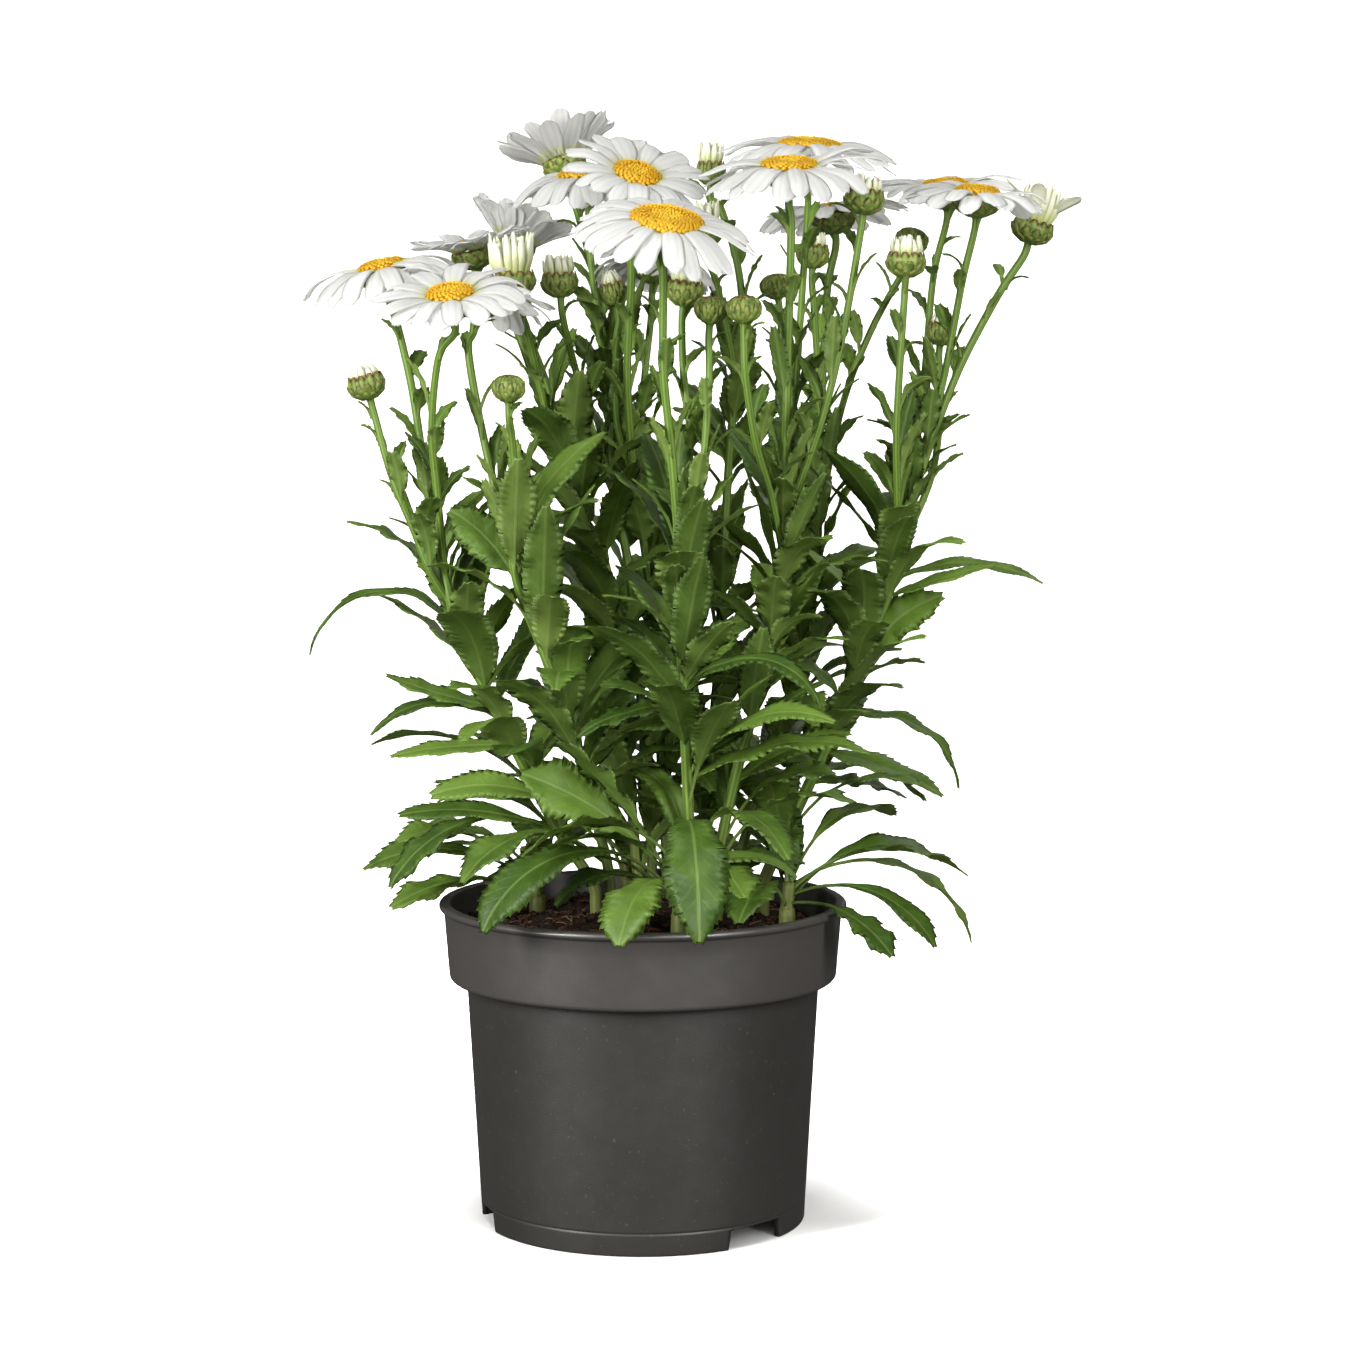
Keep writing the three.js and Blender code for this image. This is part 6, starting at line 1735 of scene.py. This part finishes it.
class StageLook(bpy.types.PropertyGroup):
    floor_colour: colour_of("Paper", "Colour of the floor and backdrop", "f4f3f1")
    left_power: power_of("Left light", "Power of the tall light at the left", 25)
    right_power: power_of("Right light", "Power of the tall light at the right", 15)
    front_power: power_of("Front light", "Power of the light over the camera", 11.5)
    top_power: power_of("Top light", "Power of the light from above", 10.3)
    floor_power: power_of("Floor light", "Power of the light that reaches only the floor", 46)
    wall_power: power_of("Wall lights", "Power of each light that reaches only the paper's wall", 60)
    back_power: power_of("Back light", "Power of the weak light behind the plant", 2.5)
    strip_power: power_of("Strip lights", "Power of each narrow light that draws a highlight on the pot", 8)
    bounce_power: power_of("Paper bounce", "Power of what the white paper throws back up at the petals", 8)
    room_light: share_of("Room light", "Brightness of the room around", 0.09)


class DAISY_OT_pot(bpy.types.Operator):
    """Makes the moulded pot with its collar, lip, foot gaps and drain holes"""

    bl_idname = "daisy.pot"
    bl_label = "Nursery pot"

    def execute(self, context):
        look = context.scene.daisy_pot
        shape = Shape()
        grid = round_the_axis(pot_profile(look), POT_SIDES)
        add_rings(shape, grid, (0, 0, FLOOR_LOW), (0, 0, FLOOR_TOP))
        pot = shape.make("nursery_pot", [moulded_polypropylene(look)])
        tools = [notch_tool(azimuth) for azimuth in NOTCH_AZIMUTHS]
        tools += [drain_tool((i + 0.5) / DRAIN_COUNT * 2 * math.pi) for i in range(DRAIN_COUNT)]
        cut_away(pot, tools)
        stand_for(pot, "pot")
        return {"FINISHED"}


class DAISY_OT_soil(bpy.types.Operator):
    """Makes the peat that fills the pot, with bark, crumbs and fibres on top"""

    bl_idname = "daisy.soil"
    bl_label = "Potting soil"

    def execute(self, context):
        look = context.scene.daisy_soil
        draw = seeded(5150)
        shape = Shape()
        add_soil_body(shape)
        add_crumbs(shape, look.crumbs, draw, 0)
        add_chips(shape, look.chips, draw, 1)
        add_fibres(shape, look.fibres, draw, 2)
        soil = shape.make("potting_soil", [milled_peat(look), composted_bark(look), peat_fibre(look)])
        stand_for(soil, "soil")
        return {"FINISHED"}


class DAISY_OT_leafy_stems(bpy.types.Operator):
    """Makes each stem with its leaves, stalks, cups and closed buds"""

    bl_idname = "daisy.leafy_stems"
    bl_label = "Leafy stems"

    def execute(self, context):
        look = context.scene.daisy_leaf
        stems, heads, _, _, room = plant()
        materials = [
            leaf_skin(look, "leaf_upper_skin", look.colour, look.shade, look.vein_colour, -0.3),
            leaf_skin(look, "leaf_under_skin", look.under_colour, look.under_shade, look.vein_colour, 0.3),
            ribbed_stem(look),
            papery_bract(look),
        ]
        extras = [more_leaves(stem, i, heads, room) for i, stem in enumerate(stems)]
        for i, stem in enumerate(stems):
            shape = Shape()
            add_leafy_stem(shape, stem, heads, extras[i], look, seeded(4001 + 17 * i))
            stand_for(shape.make(f"grown_stem_{i + 1:02d}", materials), stem["name"])
        return {"FINISHED"}


class DAISY_OT_petals(bpy.types.Operator):
    """Makes the ring of ray petals of each bloom"""

    bl_idname = "daisy.petals"
    bl_label = "Ray petals"

    def execute(self, context):
        look = context.scene.daisy_petal
        material = ray_petal(look)
        for head in plant()[2]:
            draw = seeded(7001 + 29 * head["id"])
            shape = Shape()
            for ray in rays_of(head, look.petals, look.width / MM, draw):
                add_petal(shape, head, ray, look, draw)
            stand_for(shape.make(f"{head['name']}_rays", [material]), f"{head['name']}_petals")
        return {"FINISHED"}


class DAISY_OT_discs(bpy.types.Operator):
    """Makes the disc of florets of each bloom"""

    bl_idname = "daisy.discs"
    bl_label = "Floret discs"

    def execute(self, context):
        look = context.scene.daisy_disc
        material = disc_floret(look)
        for head in plant()[2]:
            shape = Shape()
            add_disc(shape, head, look, seeded(8009 + 31 * head["id"]))
            stand_for(shape.make(f"{head['name']}_florets", [material]), f"{head['name']}_disc")
        return {"FINISHED"}


class DAISY_OT_buds(bpy.types.Operator):
    """Makes the rolled petals of each opening bud"""

    bl_idname = "daisy.buds"
    bl_label = "Opening buds"

    def execute(self, context):
        look = context.scene.daisy_bud
        material = bud_petal(look)
        for head in plant()[3]:
            shape = Shape()
            add_tuft(shape, head, look, seeded(6007 + 41 * head["id"]))
            stand_for(shape.make(f"{head['name']}_rays", [material]), f"{head['name']}_petals")
        return {"FINISHED"}


# The paper, in millimetres: a level floor, a round bend and a wall.
COVE_FLOOR = 1500
COVE_BEND = 800
COVE_HEIGHT = 4000
COVE_SIDES = 96

# The camera, in metres and degrees.
CAMERA_PLACE = (0, -1.529, 0.404)
CAMERA_TILT = 84.3
CAMERA_PAN = -0.7
CAMERA_LENS = 87.3

# The lights: name, place, point aimed at, width and height, all in metres, then the setting of its power
# and how the names of the pieces end that it reaches, if it doesn't reach all.
MIDDLE = (0, 0, 0.27)
LAMPS = (
    ("left_light", (-1.05, -0.9, 0.68), (0, 0, 0.25), 0.17, 1.1, "left_power", None),
    ("right_light", (0.8, -1.15, 0.68), (0, 0, 0.25), 0.13, 1.1, "right_power", None),
    ("front_light", (-0.1, -2.0, 0.95), MIDDLE, 1.2, 0.8, "front_power", None),
    ("top_light", (-0.1, -0.25, 1.9), MIDDLE, 1.2, 1.2, "top_power", None),
    ("floor_light", (0.15, -0.2, 2.4), (0, 0, 0), 2.6, 2.6, "floor_power", "paper_sweep"),
    ("back_light", (0.7, 1.4, 1.1), MIDDLE, 0.9, 0.9, "back_power", None),
    ("left_strip", (-1.05, -0.9, 0.78), (0, 0, 0.15), 0.12, 0.8, "strip_power", "nursery_pot"),
    ("right_strip", (0.8, -1.15, 0.78), (0, 0, 0.15), 0.12, 0.8, "strip_power", "nursery_pot"),
    ("paper_bounce", (0, 0, 0.01), (0, 0, 1), 3, 3, "bounce_power", "_rays"),
)
# Lamps in a ring over the plant that light the paper's wall.
WALL_LAMPS = 5
WALL_LAMP_SIZE = (1.3, 0.8)
WALL_LAMP_HEIGHT = 2.3
WALL_LAMP_RING = 0.4
WALL_AIM_HEIGHT = 0.7
WALL_RADIUS = 2.3


def add_lamp(name, place, aim, width, height, power, reached):
    """A soft rectangular light. It reaches only the pieces whose names end so, if an ending is given."""
    lamp = bpy.data.lights.new(name, "AREA")
    lamp.shape = "RECTANGLE"
    lamp.size, lamp.size_y, lamp.energy = width, height, power
    made = bpy.data.objects.new(name, lamp)
    made.visible_camera = False
    made.location = place
    made.rotation_euler = (Vector(aim) - Vector(place)).to_track_quat("-Z", "Y").to_euler()
    bpy.context.scene.collection.objects.link(made)
    if reached:
        lit = bpy.data.collections.new(name)
        for piece in bpy.context.scene.objects:
            if piece.name.endswith(reached):
                lit.objects.link(piece)
        made.light_linking.receiver_collection = lit


def paper_sweep(look):
    """A round floor of paper that turns up into a wall all round."""
    line = [(300, 0), (900, 0), (COVE_FLOOR, 0)]
    for a in np.linspace(0.1, math.pi / 2, 12):
        line.append((COVE_FLOOR + COVE_BEND * math.sin(a), COVE_BEND * (1 - math.cos(a))))
    line.append((COVE_FLOOR + COVE_BEND, COVE_HEIGHT))
    grid = round_the_axis(line, COVE_SIDES)
    walls, _ = ring_faces(len(line), COVE_SIDES)
    shape = Shape()
    shape.add(grid, [(walls[:, ::-1], 0), (np.arange(COVE_SIDES)[None], 0)])
    return shape.make("paper_sweep", [painted_paper(look)])


class DAISY_OT_stage(bpy.types.Operator):
    """Sets up the floor, the soft lights and the camera at the photograph's angle"""

    bl_idname = "daisy.stage"
    bl_label = "Stage"

    def execute(self, context):
        look = context.scene.daisy_stage
        # The paper neither lights the plant nor reflects in the pot.
        paper = paper_sweep(look)
        paper.visible_diffuse = False
        paper.visible_glossy = False
        for name, place, aim, width, height, power, reached in LAMPS:
            add_lamp(name, place, aim, width, height, getattr(look, power), reached)
        for k in range(WALL_LAMPS):
            turn = (k / WALL_LAMPS + 0.25) * 2 * math.pi
            around = np.array([math.cos(turn), math.sin(turn)])
            place = (*WALL_LAMP_RING * around, WALL_LAMP_HEIGHT)
            aim = (*WALL_RADIUS * around, WALL_AIM_HEIGHT)
            add_lamp(f"wall_light_{k + 1}", place, aim, *WALL_LAMP_SIZE, look.wall_power, "paper_sweep")
        world = bpy.data.worlds.new("studio")
        world.use_nodes = True
        feed(world.node_tree.nodes["Background"], {"Color": ROOM_WHITE, "Strength": look.room_light})
        context.scene.world = world
        context.scene.view_settings.view_transform = "Standard"
        lens = bpy.data.cameras.new("photo_view")
        lens.lens = CAMERA_LENS
        camera = bpy.data.objects.new("photo_view", lens)
        camera.location = CAMERA_PLACE
        camera.rotation_euler = (CAMERA_TILT * DEGREE, 0, CAMERA_PAN * DEGREE)
        context.scene.collection.objects.link(camera)
        context.scene.camera = camera
        return {"FINISHED"}


# What each operator makes, by the name of its settings.
LOOKS = {
    "pot": PotLook,
    "soil": SoilLook,
    "leaf": LeafLook,
    "petal": PetalLook,
    "disc": DiscLook,
    "bud": BudLook,
    "stage": StageLook,
}
MAKERS = (
    DAISY_OT_pot,
    DAISY_OT_soil,
    DAISY_OT_leafy_stems,
    DAISY_OT_petals,
    DAISY_OT_discs,
    DAISY_OT_buds,
    DAISY_OT_stage,
)


class DAISY_PT_panel(bpy.types.Panel):
    """Lists the makers of the daisy and their settings"""

    bl_idname = "DAISY_PT_panel"
    bl_label = "Potted Shasta Daisy"
    bl_space_type = "VIEW_3D"
    bl_region_type = "UI"
    bl_category = "Daisy"

    def draw(self, context):
        for (name, look), maker in zip(LOOKS.items(), MAKERS):
            box = self.layout.box()
            box.operator(maker.bl_idname)
            for field in look.__annotations__:
                box.prop(getattr(context.scene, f"daisy_{name}"), field)


def register():
    for kind in (*LOOKS.values(), *MAKERS, DAISY_PT_panel):
        bpy.utils.register_class(kind)
    for name, look in LOOKS.items():
        setattr(bpy.types.Scene, f"daisy_{name}", bpy.props.PointerProperty(type=look))


def unregister():
    for name in LOOKS:
        delattr(bpy.types.Scene, f"daisy_{name}")
    for kind in (DAISY_PT_panel, *MAKERS[::-1], *LOOKS.values()):
        bpy.utils.unregister_class(kind)


def main():
    register()
    for maker in MAKERS:
        group, call = maker.bl_idname.split(".")
        getattr(getattr(bpy.ops, group), call)()


if __name__ == "__main__":
    main()
